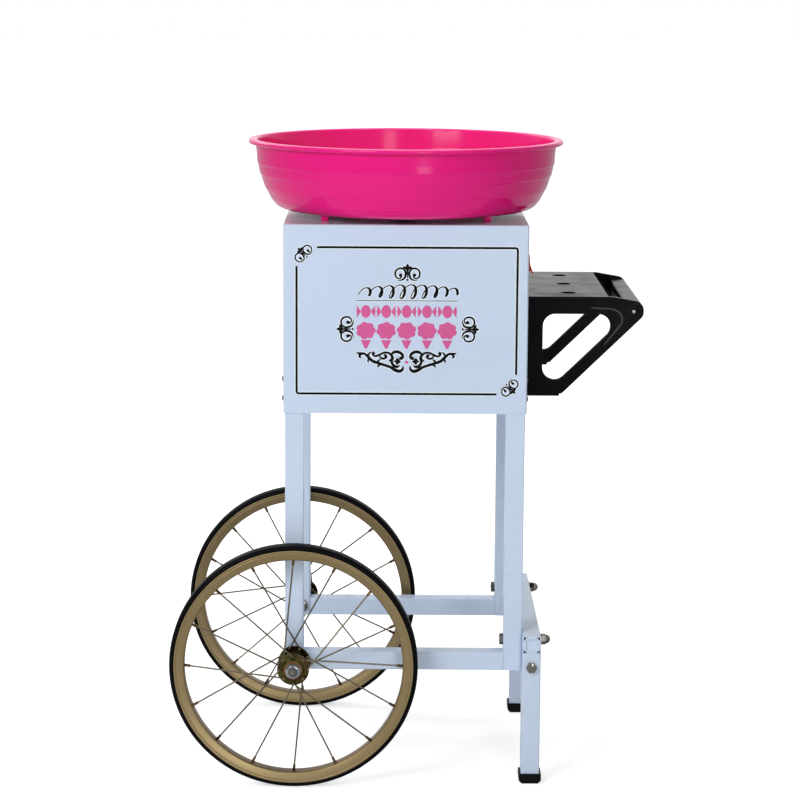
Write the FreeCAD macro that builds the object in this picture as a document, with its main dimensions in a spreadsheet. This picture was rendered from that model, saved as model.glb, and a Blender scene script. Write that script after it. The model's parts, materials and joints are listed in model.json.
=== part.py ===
import FreeCAD, Part
import Sketcher
import math
import os
from types import SimpleNamespace

# Floss (cotton candy) machine on a cart: a sheet metal cabinet on a tube stand with two spoked wheels
# and two feet, a bowl with a spinner head on top, and a shelf with a handle on the right side.
# +Z is up, +X points to the shelf, -Y is the front. The origin is on the floor under the bowl's axis.

driving = {
    # stand
    "tube_side": 25,
    "tube_wall": 1.5,
    "axle_above_leg_end": 14,
    "crossbar_above_leg_end": 28,
    "crossbar_overhang": 20,
    "foot_bolt_drop": 18,
    "stub_length": 34,
    "stub_play": 0.3,
    "end_plug_depth": 4,
    "end_plug_chamfer": 5,
    "plug_play": 0.1,
    # foot caps
    "cap_wall": 2.5,
    "cap_play": 0.1,
    "cap_height": 13.5,
    "cap_floor": 3,
    "cap_chamfer": 4,
    # bolts of the stand
    "bolt_diameter": 8,
    "bolt_head_across_flats": 13,
    "bolt_head_height": 5.3,
    "bolt_washer_diameter": 16,
    "bolt_washer_thickness": 1.6,
    "nut_height": 6.5,
    "hole_play": 0.2,
    "thread_play": 0.05,
    # wheels
    "wheel_diameter": 333.6,
    "tyre_width": 24,
    "tyre_height": 6.3,
    "tyre_round": 5,
    "rim_width": 26,
    "rim_depth": 14,
    "rim_skin": 1.8,
    "rim_groove_depth": 5,
    "rim_groove_width": 20,
    "rim_taper": 3.5,
    "rim_edge": 1.5,
    "rim_round": 1.5,
    "tyre_play": 0.1,
    "spoke_pairs": 8,
    "spoke_diameter": 2.2,
    "spoke_hole_play": 0.15,
    "spoke_lead": 45,
    "nipple_diameter": 4,
    "nipple_length": 9,
    "nipple_head_diameter": 5.8,
    "nipple_head_height": 2,
    "nipple_tip_play": 0.05,
    "hub_flange_diameter": 43,
    "hub_flange_spacing": 40,
    "hub_flange_thickness": 2,
    "hub_hole_circle": 36,
    "hub_barrel_diameter": 21,
    "hub_cup_diameter": 28,
    "hub_cup_length": 3,
    "bush_outer_diameter": 16,
    "bush_length": 12,
    "bush_flange_diameter": 24,
    "bush_flange_thickness": 2,
    "axle_diameter": 10,
    "axle_running_play": 0.05,
    "axle_end_play": 0.3,
    "axle_spacer_length": 3.7,
    "axle_nut_across_flats": 17,
    "axle_nut_height": 6.5,
    "axle_washer_diameter": 20,
    "axle_washer_thickness": 1.5,
    "axle_tip": 1.5,
    "axle_head_height": 6.4,
    # cabinet
    "cabinet_width": 324,
    "cabinet_depth": 316,
    "cabinet_height": 252,
    "cabinet_bottom": 506,
    "sheet": 1.5,
    "sheet_bend": 3,
    "leg_play": 0.5,
    "leg_overlap": 60,
    "rear_flange": 16,
    "deck_flange": 12,
    "deck_flange_play": 0.3,
    "deck_edge_round": 1.2,
    "panel_thickness": 1.2,
    "panel_side_margin": 5,
    "panel_end_margin": 5,
    "vent_count": 9,
    "vent_width": 4,
    "vent_height": 50,
    "vent_pitch": 14,
    "vent_rise": 175,
    "screw_diameter": 4,
    "screw_head_diameter": 8,
    "screw_head_height": 2.4,
    "leg_screw_low": 18,
    "leg_screw_high": 44,
    "leg_screw_reach": 8,
    # cord gland and terminal block
    "gland_across": 60,
    "gland_rise": 40,
    "gland_body_diameter": 16,
    "gland_body_length": 8,
    "gland_catch": 1,
    "gland_flange_diameter": 22,
    "gland_flange_height": 3,
    "gland_bore": 7.4,
    "terminal_width": 60,
    "terminal_depth": 22,
    "terminal_height": 16,
    "terminal_screw_pitch": 10,
    # switch
    "switch_across": -80,
    "switch_height": 697,
    "bezel_height": 31,
    "bezel_width": 25.5,
    "bezel_thickness": 2.2,
    "switch_body_height": 27,
    "switch_body_width": 21.5,
    "switch_body_depth": 24,
    "switch_wall": 2,
    "cutout_play": 0.3,
    "rocker_play": 0.4,
    "rocker_depth": 3,
    "rocker_throw": 24,
    "rocker_width": 20.5,
    "rocker_end_height": 8.3,
    "rocker_end_reach": 13.3,
    "rocker_end_thickness": 2.2,
    "rocker_valley": 6.2,
    "rocker_valley_round": 24,
    "rocker_web": 2,
    "rocker_skirt": 11,
    "rocker_pin_diameter": 3,
    "rocker_pin_play": 0.05,
    # shelf
    "shelf_top": 661,
    "shelf_inset": 22.5,
    "shelf_reach": 108,
    "shelf_plate": 5,
    "cone_hole_diameter": 19.5,
    "cone_hole_pitch": 93,
    "cone_hole_reach": 57,
    "bracket_thickness": 8,
    "bracket_height": 134,
    "bracket_bar": 21,
    "bracket_top_bar": 23.2,
    "bracket_arm": 15.7,
    "bracket_arm_slope": 44.4,
    "bracket_foot": 44,
    "bracket_foot_step": 3,
    "bracket_toe": 5,
    "window_round": 16.5,
    "handle_reach": 142,
    "handle_drop": 20,
    "handle_eye_diameter": 26,
    "grip_width": 26,
    "grip_height": 23,
    "grip_round": 9,
    "grip_play": 0.1,
    "handle_screw_diameter": 5,
    "handle_screw_head": 7.5,
    "handle_screw_reach": 16,
    "handle_screw_recess": 2.5,
    "bracket_screw_low": 56,
    "bracket_screw_high": 118,
    "bracket_screw_reach": 13,
    "bracket_ledge": 12,
    "bracket_ledge_thickness": 3,
    "deck_screw_inset": 20,
    "deck_screw_bite": 3.5,
    # floss drive
    "motor_diameter": 74,
    "motor_height": 58,
    "motor_skin": 2,
    "motor_end": 3,
    "motor_plate_width": 106,
    "motor_plate_depth": 84,
    "motor_plate_thickness": 2.5,
    "standoff_length": 14,
    "standoff_diameter": 9,
    "standoff_across": 42,
    "standoff_along": 30,
    "shaft_diameter": 8,
    "shaft_play": 0.05,
    "bearing_diameter": 16,
    "bearing_length": 6,
    "rotor_gap": 1,
    "rotor_end_gap": 8,
    "collar_diameter": 26,
    "collar_bore": 16,
    "collar_height": 20,
    "collar_flange_diameter": 56,
    "collar_flange_thickness": 2.5,
    "dish_diameter": 104,
    "dish_rim": 8,
    "dish_sheet": 1.2,
    "element_ring_diameter": 72,
    "element_diameter": 6,
    "element_seat_play": 0.1,
    "holder_diameter": 10,
    "holder_height": 5,
    "holder_count": 3,
    "spinner_diameter": 92,
    "spinner_sheet": 1.6,
    "spinner_gap": 1.7,
    "spinner_wall": 15,
    "spinner_hub_diameter": 18,
    "spinner_hub_height": 9,
    "spinner_slots": 36,
    "spinner_slot_width": 1.4,
    "spinner_slot_margin": 3,
    "spinner_mouth": 44,
    "spinner_funnel_drop": 4,
    "spinner_funnel_inset": 4,
    "spinner_cap_lip": 1.5,
    "spinner_nut_across_flats": 13,
    "spinner_nut_height": 5,
    "shaft_tip": 1.5,
    # bowl
    "bowl_rim_diameter": 430,
    "bowl_wall": 2.5,
    "bowl_foot_height": 7.5,
    "bowl_foot_across": 11,
    "bowl_floor_inset": 39,
    "bowl_floor_round": 22,
    "bowl_low_wall_inset": 22,
    "bowl_low_wall_rise": 28.5,
    "bowl_high_wall_inset": 12.5,
    "bowl_high_wall_rise": 58,
    "bowl_wall_round": 100,
    "bowl_depth": 94.5,
    "bowl_lip_width": 12,
    "bowl_lip_height": 6.4,
    "bowl_lip_round": 2.6,
    "bowl_cone_inset": 103,
    "bowl_cone_rise": 22,
    "bowl_mouth_radius": 62,
    "bowl_collar_height": 9,
    "bowl_seat_play": 0.3,
}


class Size:
    """A length as its present value and as the sheet formula that gives it."""

    def __init__(self, value, formula):
        self.value = value
        self.formula = formula

    def __add__(self, other):
        other = as_size(other)
        return Size(self.value + other.value, f"({self.formula} + {other.formula})")

    def __sub__(self, other):
        other = as_size(other)
        return Size(self.value - other.value, f"({self.formula} - {other.formula})")

    def __mul__(self, factor):
        return Size(self.value * factor, f"({self.formula} * {factor})")

    def __truediv__(self, divisor):
        return Size(self.value / divisor, f"({self.formula} / {divisor})")

    def __neg__(self):
        return self * -1

    def __radd__(self, other):
        return as_size(other) + self

    def __rsub__(self, other):
        return as_size(other) - self

    __rmul__ = __mul__


def as_size(number):
    return number if isinstance(number, Size) else Size(float(number), str(number))


doc = FreeCAD.newDocument("floss_cart")
sheet = doc.addObject("Spreadsheet::Sheet", "sizes")
for row, (alias, number) in enumerate(driving.items(), start=1):
    sheet.set(f"A{row}", alias)
    sheet.set(f"B{row}", str(number))
    sheet.setAlias(f"B{row}", alias)
doc.recompute()
d = SimpleNamespace(**{alias: Size(float(sheet.get(alias)), f"sizes.{alias}") for alias in driving})

nodes = []
front, rear = -1, 1
turned = {
    "x": FreeCAD.Rotation(FreeCAD.Vector(0, 1, 0), 90),
    "y": FreeCAD.Rotation(FreeCAD.Vector(1, 0, 0), -90),
    "z": FreeCAD.Rotation(),
}


# ---- small tools: bound primitives, sketches and features ----

def bind(item, path, size):
    item.setExpression(path, as_size(size).formula)


def place(item, point, rotation=None):
    if rotation is not None:
        item.Placement = FreeCAD.Placement(FreeCAD.Vector(), rotation)
    for letter, size in zip("xyz", point):
        bind(item, f"Placement.Base.{letter}", size)
    return item


def box(name, low, extent):
    item = doc.addObject("Part::Box", name)
    for path, size in zip(("Length", "Width", "Height"), extent):
        bind(item, path, size)
    return place(item, low)


def rod(name, axis, low, radius, length):
    item = doc.addObject("Part::Cylinder", name)
    bind(item, "Radius", radius)
    bind(item, "Height", length)
    return place(item, low, turned[axis])


def hexagon(name, axis, low, across_flats, length):
    item = doc.addObject("Part::Prism", name)
    item.Polygon = 6
    bind(item, "Circumradius", across_flats / math.sqrt(3))
    bind(item, "Height", length)
    return place(item, low, turned[axis])


def cut(name, base, tools):
    item = doc.addObject("Part::Cut", name)
    item.Base = base
    item.Tool = tools[0] if len(tools) == 1 else group(f"{name}_tools", tools)
    return item


def fuse(name, shapes):
    item = doc.addObject("Part::MultiFuse", name)
    item.Shapes = shapes
    return item


def group(name, links):
    item = doc.addObject("Part::Compound", name)
    item.Links = links
    return item


def node(item, label):
    item.Label = label
    nodes.append(item)
    return item


def at(centre, axis, along):
    """The point of a line through centre that has the given coordinate along the line's axis."""
    point = list(centre)
    point["xyz".index(axis)] = along
    return point


def low_end(side, near, far):
    """The lower coordinate of a span that runs from near to far, outwards on the given side."""
    return near if side > 0 else -far


def ring(name, axis, centre, low, outer, inner, length):
    start = at(centre, axis, low)
    return cut(name, rod(f"{name}_outer", axis, start, outer, length),
               [rod(f"{name}_bore", axis, start, inner, length)])


def fastener(name, axis, side, centre, seat, shank, reach, head, head_height, hexagonal=False):
    """A screw or bolt whose head sits on the seat; its shank runs from there to the given side."""
    head_low = seat - head_height if side > 0 else seat
    shank_low = seat if side > 0 else seat - reach
    form = hexagon if hexagonal else rod
    return fuse(name, [
        form(f"{name}_head", axis, at(centre, axis, head_low), head, head_height),
        rod(f"{name}_shank", axis, at(centre, axis, shank_low), shank, reach),
    ])


def body(name, point=None, rotation=None):
    item = doc.addObject("PartDesign::Body", name)
    if point is not None:
        place(item, point, rotation)
    return item


def origin(part, role):
    return next(item for item in part.Origin.OriginFeatures if item.Role == role)


def corner_turn(before, here, after, radius):
    """Tangent points, centre and turning sense of a round of the given radius at a corner."""
    to_before = FreeCAD.Vector(before.x - here.x, before.y - here.y).normalize()
    to_after = FreeCAD.Vector(after.x - here.x, after.y - here.y).normalize()
    half = to_before.getAngle(to_after) / 2
    back = radius / math.tan(half)
    middle = (to_before + to_after).normalize()
    centre = here + middle * (radius / math.sin(half))
    left_turn = to_after.cross(to_before).z > 0
    return here + to_before * back, here + to_after * back, centre, left_turn


def pin_point(sketch, geometry, end, corner):
    for kind, size in zip(("DistanceX", "DistanceY"), corner):
        size = as_size(size)
        index = sketch.addConstraint(Sketcher.Constraint(kind, -1, 1, geometry, end, size.value))
        sketch.setExpression(f"Constraints[{index}]", size.formula)


def add_loop(sketch, corners):
    """A closed outline. Each corner is (x, y) or (x, y, radius)."""
    points = [FreeCAD.Vector(as_size(c[0]).value, as_size(c[1]).value) for c in corners]
    rounds = [as_size(c[2]) if len(c) > 2 else None for c in corners]
    count = len(corners)
    turns = []
    for i in range(count):
        if rounds[i]:
            turns.append(corner_turn(points[i - 1], points[i], points[(i + 1) % count], rounds[i].value))
        else:
            turns.append((points[i], points[i], None, None))
    lines = [
        sketch.addGeometry(Part.LineSegment(turns[i][1], turns[(i + 1) % count][0]), False)
        for i in range(count)
    ]
    for i in range(count):
        into, out_of = lines[i - 1], lines[i]
        arrive, leave, centre, left_turn = turns[i]
        if not rounds[i]:
            sketch.addConstraint(Sketcher.Constraint("Coincident", into, 2, out_of, 1))
            pin_point(sketch, out_of, 1, corners[i][:2])
            continue
        start, end = (arrive, leave) if left_turn else (leave, arrive)
        angles = [math.atan2(p.y - centre.y, p.x - centre.x) for p in (start, end)]
        circle = Part.Circle(centre, FreeCAD.Vector(0, 0, 1), rounds[i].value)
        arc = sketch.addGeometry(Part.ArcOfCircle(circle, *angles), False)
        first, last = (1, 2) if left_turn else (2, 1)
        mark = sketch.addGeometry(Part.Point(points[i]), True)
        pin_point(sketch, mark, 1, corners[i][:2])
        sketch.addConstraint(Sketcher.Constraint("PointOnObject", mark, 1, into))
        sketch.addConstraint(Sketcher.Constraint("PointOnObject", mark, 1, out_of))
        sketch.addConstraint(Sketcher.Constraint("Tangent", into, 2, arc, first))
        sketch.addConstraint(Sketcher.Constraint("Tangent", arc, last, out_of, 1))
        index = sketch.addConstraint(Sketcher.Constraint("Radius", arc, rounds[i].value))
        sketch.setExpression(f"Constraints[{index}]", rounds[i].formula)


def add_circle(sketch, centre, radius):
    middle = FreeCAD.Vector(as_size(centre[0]).value, as_size(centre[1]).value)
    circle = Part.Circle(middle, FreeCAD.Vector(0, 0, 1), as_size(radius).value)
    index = sketch.addGeometry(circle, False)
    pin_point(sketch, index, 3, centre)
    constraint = sketch.addConstraint(Sketcher.Constraint("Radius", index, as_size(radius).value))
    sketch.setExpression(f"Constraints[{constraint}]", as_size(radius).formula)


def sketch_on(part, plane, name, loops=(), circles=(), offset=None):
    sketch = part.newObject("Sketcher::SketchObject", name)
    sketch.AttachmentSupport = [(origin(part, plane), "")]
    sketch.MapMode = "FlatFace"
    if offset is not None:
        bind(sketch, ".AttachmentOffset.Base.z", offset)
    for corners in loops:
        add_loop(sketch, corners)
    for centre, radius in circles:
        add_circle(sketch, centre, radius)
    return sketch


def pad(part, name, sketch, length, backwards=False):
    feature = part.newObject("PartDesign::Pad", name)
    feature.Profile = sketch
    feature.Reversed = backwards
    bind(feature, "Length", length)
    return feature


def pocket(part, name, sketch, length=None, backwards=False):
    """Cuts to the given length, or both ways through everything."""
    feature = part.newObject("PartDesign::Pocket", name)
    feature.Profile = sketch
    if length is None:
        feature.Type = "ThroughAll"
        feature.SideType = "Symmetric"
    else:
        feature.Reversed = backwards
        bind(feature, "Length", length)
    return feature


def revolve(part, name, sketch):
    feature = part.newObject("PartDesign::Revolution", name)
    feature.Profile = sketch
    feature.ReferenceAxis = (sketch, ["V_Axis"])
    feature.Angle = 360
    return feature


def polar(part, name, feature, axis, count):
    pattern = part.newObject("PartDesign::PolarPattern", name)
    pattern.Originals = [feature]
    pattern.Axis = (origin(part, axis), [""])
    pattern.Angle = 360
    bind(pattern, "Occurrences", count)
    part.Tip = pattern
    return pattern


def linear(part, name, feature, axis, length, count):
    pattern = part.newObject("PartDesign::LinearPattern", name)
    pattern.Originals = [feature]
    pattern.Direction = (origin(part, axis), [""])
    bind(pattern, "Length", length)
    bind(pattern, "Occurrences", count)
    part.Tip = pattern
    return pattern


def rectangle(x_low, x_high, y_low, y_high, radius=None):
    end = () if radius is None else (radius,)
    return [(x_low, y_low) + end, (x_high, y_low) + end, (x_high, y_high) + end, (x_low, y_high) + end]


# ---- places worked out from the driving dimensions ----

half_width = d.cabinet_width / 2
half_depth = d.cabinet_depth / 2
leg_out_x = half_width - d.sheet - d.leg_play
leg_out_y = half_depth - d.sheet - d.leg_play
leg_mid_x = leg_out_x - d.tube_side / 2
leg_mid_y = leg_out_y - d.tube_side / 2
axle_height = d.wheel_diameter / 2
leg_bottom = axle_height - d.axle_above_leg_end
deck_top = d.cabinet_bottom + d.cabinet_height
deck_under = deck_top - d.sheet

crossbar_low = leg_bottom + d.crossbar_above_leg_end
crossbar_mid = crossbar_low + d.tube_side / 2
crossbar_x = leg_out_x
crossbar_half = leg_out_y + d.crossbar_overhang
foot_mid_x = crossbar_x + d.tube_side / 2
foot_mid_y = crossbar_half - d.tube_side / 2
foot_bolt_height = crossbar_low - d.foot_bolt_drop

bolt_radius = d.bolt_diameter / 2
bolt_hole = bolt_radius + d.hole_play
screw_radius = d.screw_diameter / 2
screw_hole = screw_radius + d.hole_play
screw_thread = screw_radius + d.thread_play
axle_radius = d.axle_diameter / 2


# ---- stand ----

def square_tube(name, axis, low, length):
    """A square tube along the axis, open at both ends."""
    extent = [d.tube_side] * 3
    hollow = [d.tube_side - d.tube_wall * 2] * 3
    hollow_low = [place_of + d.tube_wall for place_of in low]
    index = "xyz".index(axis)
    extent[index] = hollow[index] = length
    hollow_low[index] = low[index]
    return cut(name, box(f"{name}_outer", low, extent), [box(f"{name}_hollow", hollow_low, hollow)])


def leg(label, side_x, side_y):
    low = (low_end(side_x, leg_out_x - d.tube_side, leg_out_x),
           low_end(side_y, leg_out_y - d.tube_side, leg_out_y),
           leg_bottom)
    length = d.cabinet_bottom + d.leg_overlap - leg_bottom
    plain = square_tube(f"{label}_tube", "z", low, length)
    outer_wall = low_end(side_x, leg_out_x - d.tube_wall * 2, leg_out_x + d.tube_wall)
    holes = [
        rod(f"{label}_screw_hole_{i}", "x", (outer_wall, leg_mid_y * side_y, d.cabinet_bottom + rise),
            screw_thread, d.tube_wall * 3)
        for i, rise in enumerate((d.leg_screw_low, d.leg_screw_high))
    ]
    if side_x < 0:
        holes.append(rod(f"{label}_axle_hole", "y", (-leg_mid_x, low[1], axle_height),
                         axle_radius + d.hole_play, d.tube_side))
    else:
        holes.append(rod(f"{label}_bolt_hole", "x", (low[0], leg_mid_y * side_y, crossbar_mid),
                         bolt_hole, d.tube_side))
    node(cut(label, plain, holes), label)


def stretcher(side):
    low = (-leg_out_x + d.tube_side, low_end(side, leg_out_y - d.tube_side, leg_out_y), leg_bottom)
    return square_tube(f"stretcher_{side}", "x", low, (leg_out_x - d.tube_side) * 2)


def crossbar():
    low = (crossbar_x, -crossbar_half, crossbar_low)
    plain = square_tube("crossbar_tube", "y", low, crossbar_half * 2)
    holes = [
        rod(f"crossbar_hole_{side}", "x", (crossbar_x, leg_mid_y * side, crossbar_mid), bolt_hole,
            d.tube_side)
        for side in (front, rear)
    ]
    bar = cut("crossbar_drilled", plain, holes)
    node(fuse("foot_crossbar", [bar, foot_stub(front), foot_stub(rear)]), "foot_crossbar")


def end_plug(side):
    """A flat plug with cut corners, flush with the crossbar's end."""
    part = body(f"end_plug_{side}", (foot_mid_x, crossbar_half * side, crossbar_mid))
    reach = d.tube_side / 2 - d.tube_wall - d.plug_play
    short = reach - d.end_plug_chamfer
    corners = [(-short, -reach), (short, -reach), (reach, -short), (reach, short),
               (short, reach), (-short, reach), (-reach, short), (-reach, -short)]
    sketch = sketch_on(part, "XZ_Plane", f"end_plug_outline_{side}", [corners])
    pad(part, f"end_plug_pad_{side}", sketch, d.end_plug_depth, backwards=side < 0)
    return part


def crossbar_fixings():
    bolts, washers, nuts = [], [], []
    outer_face = crossbar_x + d.tube_side
    inner_face = leg_out_x - d.tube_side
    washer_face = outer_face + d.bolt_washer_thickness
    dome_radius = d.bolt_head_across_flats / 2 - 0.3
    for side in (front, rear):
        centre = (0, leg_mid_y * side, crossbar_mid)
        reach = washer_face + d.nut_height - inner_face
        bolts.append(fastener(f"crossbar_bolt_{side}", "x", 1, centre, inner_face, bolt_radius, reach,
                              d.bolt_head_across_flats, d.bolt_head_height, hexagonal=True))
        washers.append(ring(f"crossbar_washer_{side}", "x", centre, outer_face,
                            d.bolt_washer_diameter / 2, bolt_hole, d.bolt_washer_thickness))
        dome = doc.addObject("Part::Sphere", f"acorn_dome_{side}")
        bind(dome, "Radius", dome_radius)
        place(dome, at(centre, "x", washer_face + d.nut_height))
        hexagonal = hexagon(f"acorn_base_{side}", "x", at(centre, "x", washer_face),
                            d.bolt_head_across_flats, d.nut_height)
        whole = fuse(f"acorn_whole_{side}", [hexagonal, dome])
        clear_face = rod(f"acorn_face_{side}", "x", at(centre, "x", washer_face - dome_radius),
                         dome_radius * 1.5, dome_radius)
        thread = rod(f"acorn_thread_{side}", "x", at(centre, "x", washer_face),
                     bolt_radius + d.thread_play, d.nut_height + d.thread_play)
        nuts.append(cut(f"acorn_nut_{side}", whole, [thread, clear_face]))
    node(group("crossbar_washers", washers), "crossbar_washers")
    node(group("crossbar_acorn_nuts", nuts), "crossbar_acorn_nuts")
    return bolts


def foot_leg(side):
    low = (crossbar_x, low_end(side, crossbar_half - d.tube_side, crossbar_half), d.cap_floor)
    plain = square_tube(f"foot_tube_{side}", "z", low, crossbar_low - d.cap_floor)
    hole = rod(f"foot_tube_hole_{side}", "y", (foot_mid_x, low[1], foot_bolt_height), bolt_hole, d.tube_side)
    return cut(f"foot_leg_{side}", plain, [hole])


def foot_stub(side):
    """The tube welded under the crossbar that the foot leg slides on."""
    width = d.tube_side - d.tube_wall * 2 - d.stub_play * 2
    low = (foot_mid_x - width / 2, foot_mid_y * side - width / 2, crossbar_low - d.stub_length)
    outer = box(f"stub_outer_{side}", low, (width, width, d.stub_length))
    hollow_low = (low[0] + d.tube_wall, low[1] + d.tube_wall, low[2])
    hollow_width = width - d.tube_wall * 2
    hollow = box(f"stub_hollow_{side}", hollow_low, (hollow_width, hollow_width, d.stub_length))
    hole = rod(f"stub_hole_{side}", "y", (foot_mid_x, low[1], foot_bolt_height), bolt_hole, width)
    return cut(f"foot_stub_{side}", outer, [hollow, hole])


def foot_fixings():
    bolts, nuts = [], []
    for side in (front, rear):
        centre = (foot_mid_x, 0, foot_bolt_height)
        inner_face = (crossbar_half - d.tube_side) * side
        bolts.append(fastener(f"foot_bolt_{side}", "y", -side, centre, crossbar_half * side, bolt_radius,
                              d.tube_side + d.nut_height + 2, d.bolt_head_across_flats,
                              d.bolt_head_height, hexagonal=True))
        nut_low = inner_face if side < 0 else inner_face - d.nut_height
        blank = hexagon(f"foot_nut_blank_{side}", "y", at(centre, "y", nut_low),
                        d.bolt_head_across_flats, d.nut_height)
        thread = rod(f"foot_nut_thread_{side}", "y", at(centre, "y", nut_low),
                     bolt_radius + d.thread_play, d.nut_height)
        nuts.append(cut(f"foot_nut_{side}", blank, [thread]))
    node(group("foot_leg_nuts", nuts), "foot_leg_nuts")
    return bolts


def foot_cap(side):
    """A slip-on square cup with cut bottom corners."""
    label = f"foot_cap_{side}"
    part = body(label, (foot_mid_x, foot_mid_y * side, 0))
    inner = d.tube_side / 2 + d.cap_play
    outer = inner + d.cap_wall
    foot = outer - d.cap_chamfer
    profile = [(-foot, 0), (foot, 0), (outer, d.cap_chamfer), (outer, d.cap_height),
               (-outer, d.cap_height), (-outer, d.cap_chamfer)]
    sketch = sketch_on(part, "XZ_Plane", f"{label}_profile", [profile], offset=-outer)
    pad(part, f"{label}_pad", sketch, outer * 2)
    well = sketch_on(part, "XY_Plane", f"{label}_well", [rectangle(-inner, inner, -inner, inner)],
                     offset=d.cap_floor)
    pocket(part, f"{label}_socket", well, d.cap_height, backwards=True)
    return part


# ---- axles ----

hub_end = d.hub_flange_spacing / 2 + d.hub_flange_thickness / 2 + d.hub_cup_length
bush_end = hub_end + d.bush_flange_thickness
wheel_inner_end = leg_out_y + d.axle_spacer_length + d.axle_end_play
wheel_plane = wheel_inner_end + bush_end
wheel_outer_end = wheel_plane + bush_end


def axle_group(label, make):
    node(group(label, [make(f"{label}_{side}", side) for side in (front, rear)]), label)


def axle_bolt(name, side):
    inner_face = leg_out_y - d.tube_side
    nut_end = wheel_outer_end + d.axle_end_play + d.axle_washer_thickness + d.axle_nut_height
    centre = (-leg_mid_x, 0, axle_height)
    return fastener(name, "y", side, centre, inner_face * side, axle_radius,
                    nut_end + d.axle_tip - inner_face, d.axle_nut_across_flats, d.axle_head_height,
                    hexagonal=True)


def axle_spacer(name, side):
    length = d.axle_spacer_length
    low = low_end(side, leg_out_y, leg_out_y + length)
    return ring(name, "y", (-leg_mid_x, 0, axle_height), low, d.bush_flange_diameter / 2 - 2,
                axle_radius + d.hole_play, length)


def axle_washer(name, side):
    near = wheel_outer_end + d.axle_end_play
    low = low_end(side, near, near + d.axle_washer_thickness)
    return ring(name, "y", (-leg_mid_x, 0, axle_height), low, d.axle_washer_diameter / 2,
                axle_radius + d.hole_play, d.axle_washer_thickness)


def axle_nut(name, side):
    near = wheel_outer_end + d.axle_end_play + d.axle_washer_thickness
    point = (-leg_mid_x, low_end(side, near, near + d.axle_nut_height), axle_height)
    blank = hexagon(f"{name}_blank", "y", point, d.axle_nut_across_flats, d.axle_nut_height)
    thread = rod(f"{name}_thread", "y", point, axle_radius + d.thread_play, d.axle_nut_height)
    return cut(name, blank, [thread])


# ---- wheels: built about their own centre with the outer side at -Y ----

wheel_radius = d.wheel_diameter / 2
rim_outer = wheel_radius - d.tyre_height
rim_inner = rim_outer - d.rim_depth
rim_groove = rim_outer - d.rim_groove_depth


def wheel_frame(side):
    """The wheel's centre, and the half turn that puts a rear wheel's outer side at +Y."""
    point = (-leg_mid_x, wheel_plane * side, axle_height)
    return point, FreeCAD.Rotation(FreeCAD.Vector(0, 0, 1), 0 if side < 0 else 180)


def wheel_tyre(label, side):
    part = body(label, *wheel_frame(side))
    base = d.rim_groove_width / 2 - d.tyre_play
    half = d.tyre_width / 2
    seat = rim_outer + d.tyre_play
    low = rim_groove + d.tyre_play
    profile = [(low, -base), (seat, -base), (seat, -half), (wheel_radius, -half, d.tyre_round),
               (wheel_radius, half, d.tyre_round), (seat, half), (seat, base), (low, base)]
    revolve(part, f"{label}_ring", sketch_on(part, "XY_Plane", f"{label}_section", [profile]))
    node(part, label)


def wheel_rim(label, side):
    part = body(label, *wheel_frame(side))
    half = d.rim_width / 2
    flat = half - d.rim_taper
    groove = d.rim_groove_width / 2
    shoulder = rim_outer - d.rim_edge
    profile = [(rim_inner, -flat, d.rim_round), (shoulder, -half, d.rim_round), (rim_outer, -half),
               (rim_outer, -groove), (rim_groove, -groove), (rim_groove, groove), (rim_outer, groove),
               (rim_outer, half), (shoulder, half, d.rim_round), (rim_inner, flat, d.rim_round)]
    hollow_half = flat - d.rim_skin / 2
    hollow = rectangle(rim_inner + d.rim_skin, rim_groove - d.rim_skin, -hollow_half, hollow_half)
    revolve(part, f"{label}_ring", sketch_on(part, "XY_Plane", f"{label}_section", [profile, hollow]))
    hole = sketch_on(part, "YZ_Plane", f"{label}_hole_outline",
                     circles=[((0, 0), d.nipple_diameter / 2 + d.hole_play * 3)],
                     offset=rim_inner - d.rim_skin)
    drilled = pocket(part, f"{label}_hole", hole, d.rim_skin * 3, backwards=True)
    polar(part, f"{label}_holes", drilled, "Y_Axis", d.spoke_pairs * 2)
    node(part, label)


def wheel_hub(label, side):
    part = body(label, *wheel_frame(side))
    bore = d.bush_outer_diameter / 2 + d.axle_running_play
    cup = d.hub_cup_diameter / 2
    flange = d.hub_flange_diameter / 2
    barrel = d.hub_barrel_diameter / 2
    outside = d.hub_flange_spacing / 2 + d.hub_flange_thickness / 2
    inside = outside - d.hub_flange_thickness
    neck = inside - d.hub_cup_length
    half = [(barrel, neck, d.hub_cup_length), (cup, inside), (flange, inside), (flange, outside),
            (cup, outside), (cup, hub_end, d.hub_cup_length / 2), (bore, hub_end)]
    mirrored = [(c[0], -as_size(c[1])) + tuple(c[2:]) for c in reversed(half)]
    revolve(part, f"{label}_shell", sketch_on(part, "XY_Plane", f"{label}_section", [mirrored + half]))
    circle = d.hub_hole_circle / 2
    hole_radius = d.spoke_diameter / 2 + d.spoke_hole_play
    steps = math.pi / d.spoke_pairs.value
    between = (circle * math.cos(steps), circle * math.sin(steps))
    for name, centre, start in (("outer", (circle, 0), outside), ("inner", between, -inside)):
        sketch = sketch_on(part, "XZ_Plane", f"{label}_{name}_hole", circles=[(centre, hole_radius)],
                           offset=start + d.spoke_hole_play)
        depth = d.hub_flange_thickness + d.spoke_hole_play * 2
        drilled = pocket(part, f"{label}_{name}_drill", sketch, depth)
        polar(part, f"{label}_{name}_holes", drilled, "Y_Axis", d.spoke_pairs)
    node(part, label)


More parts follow.
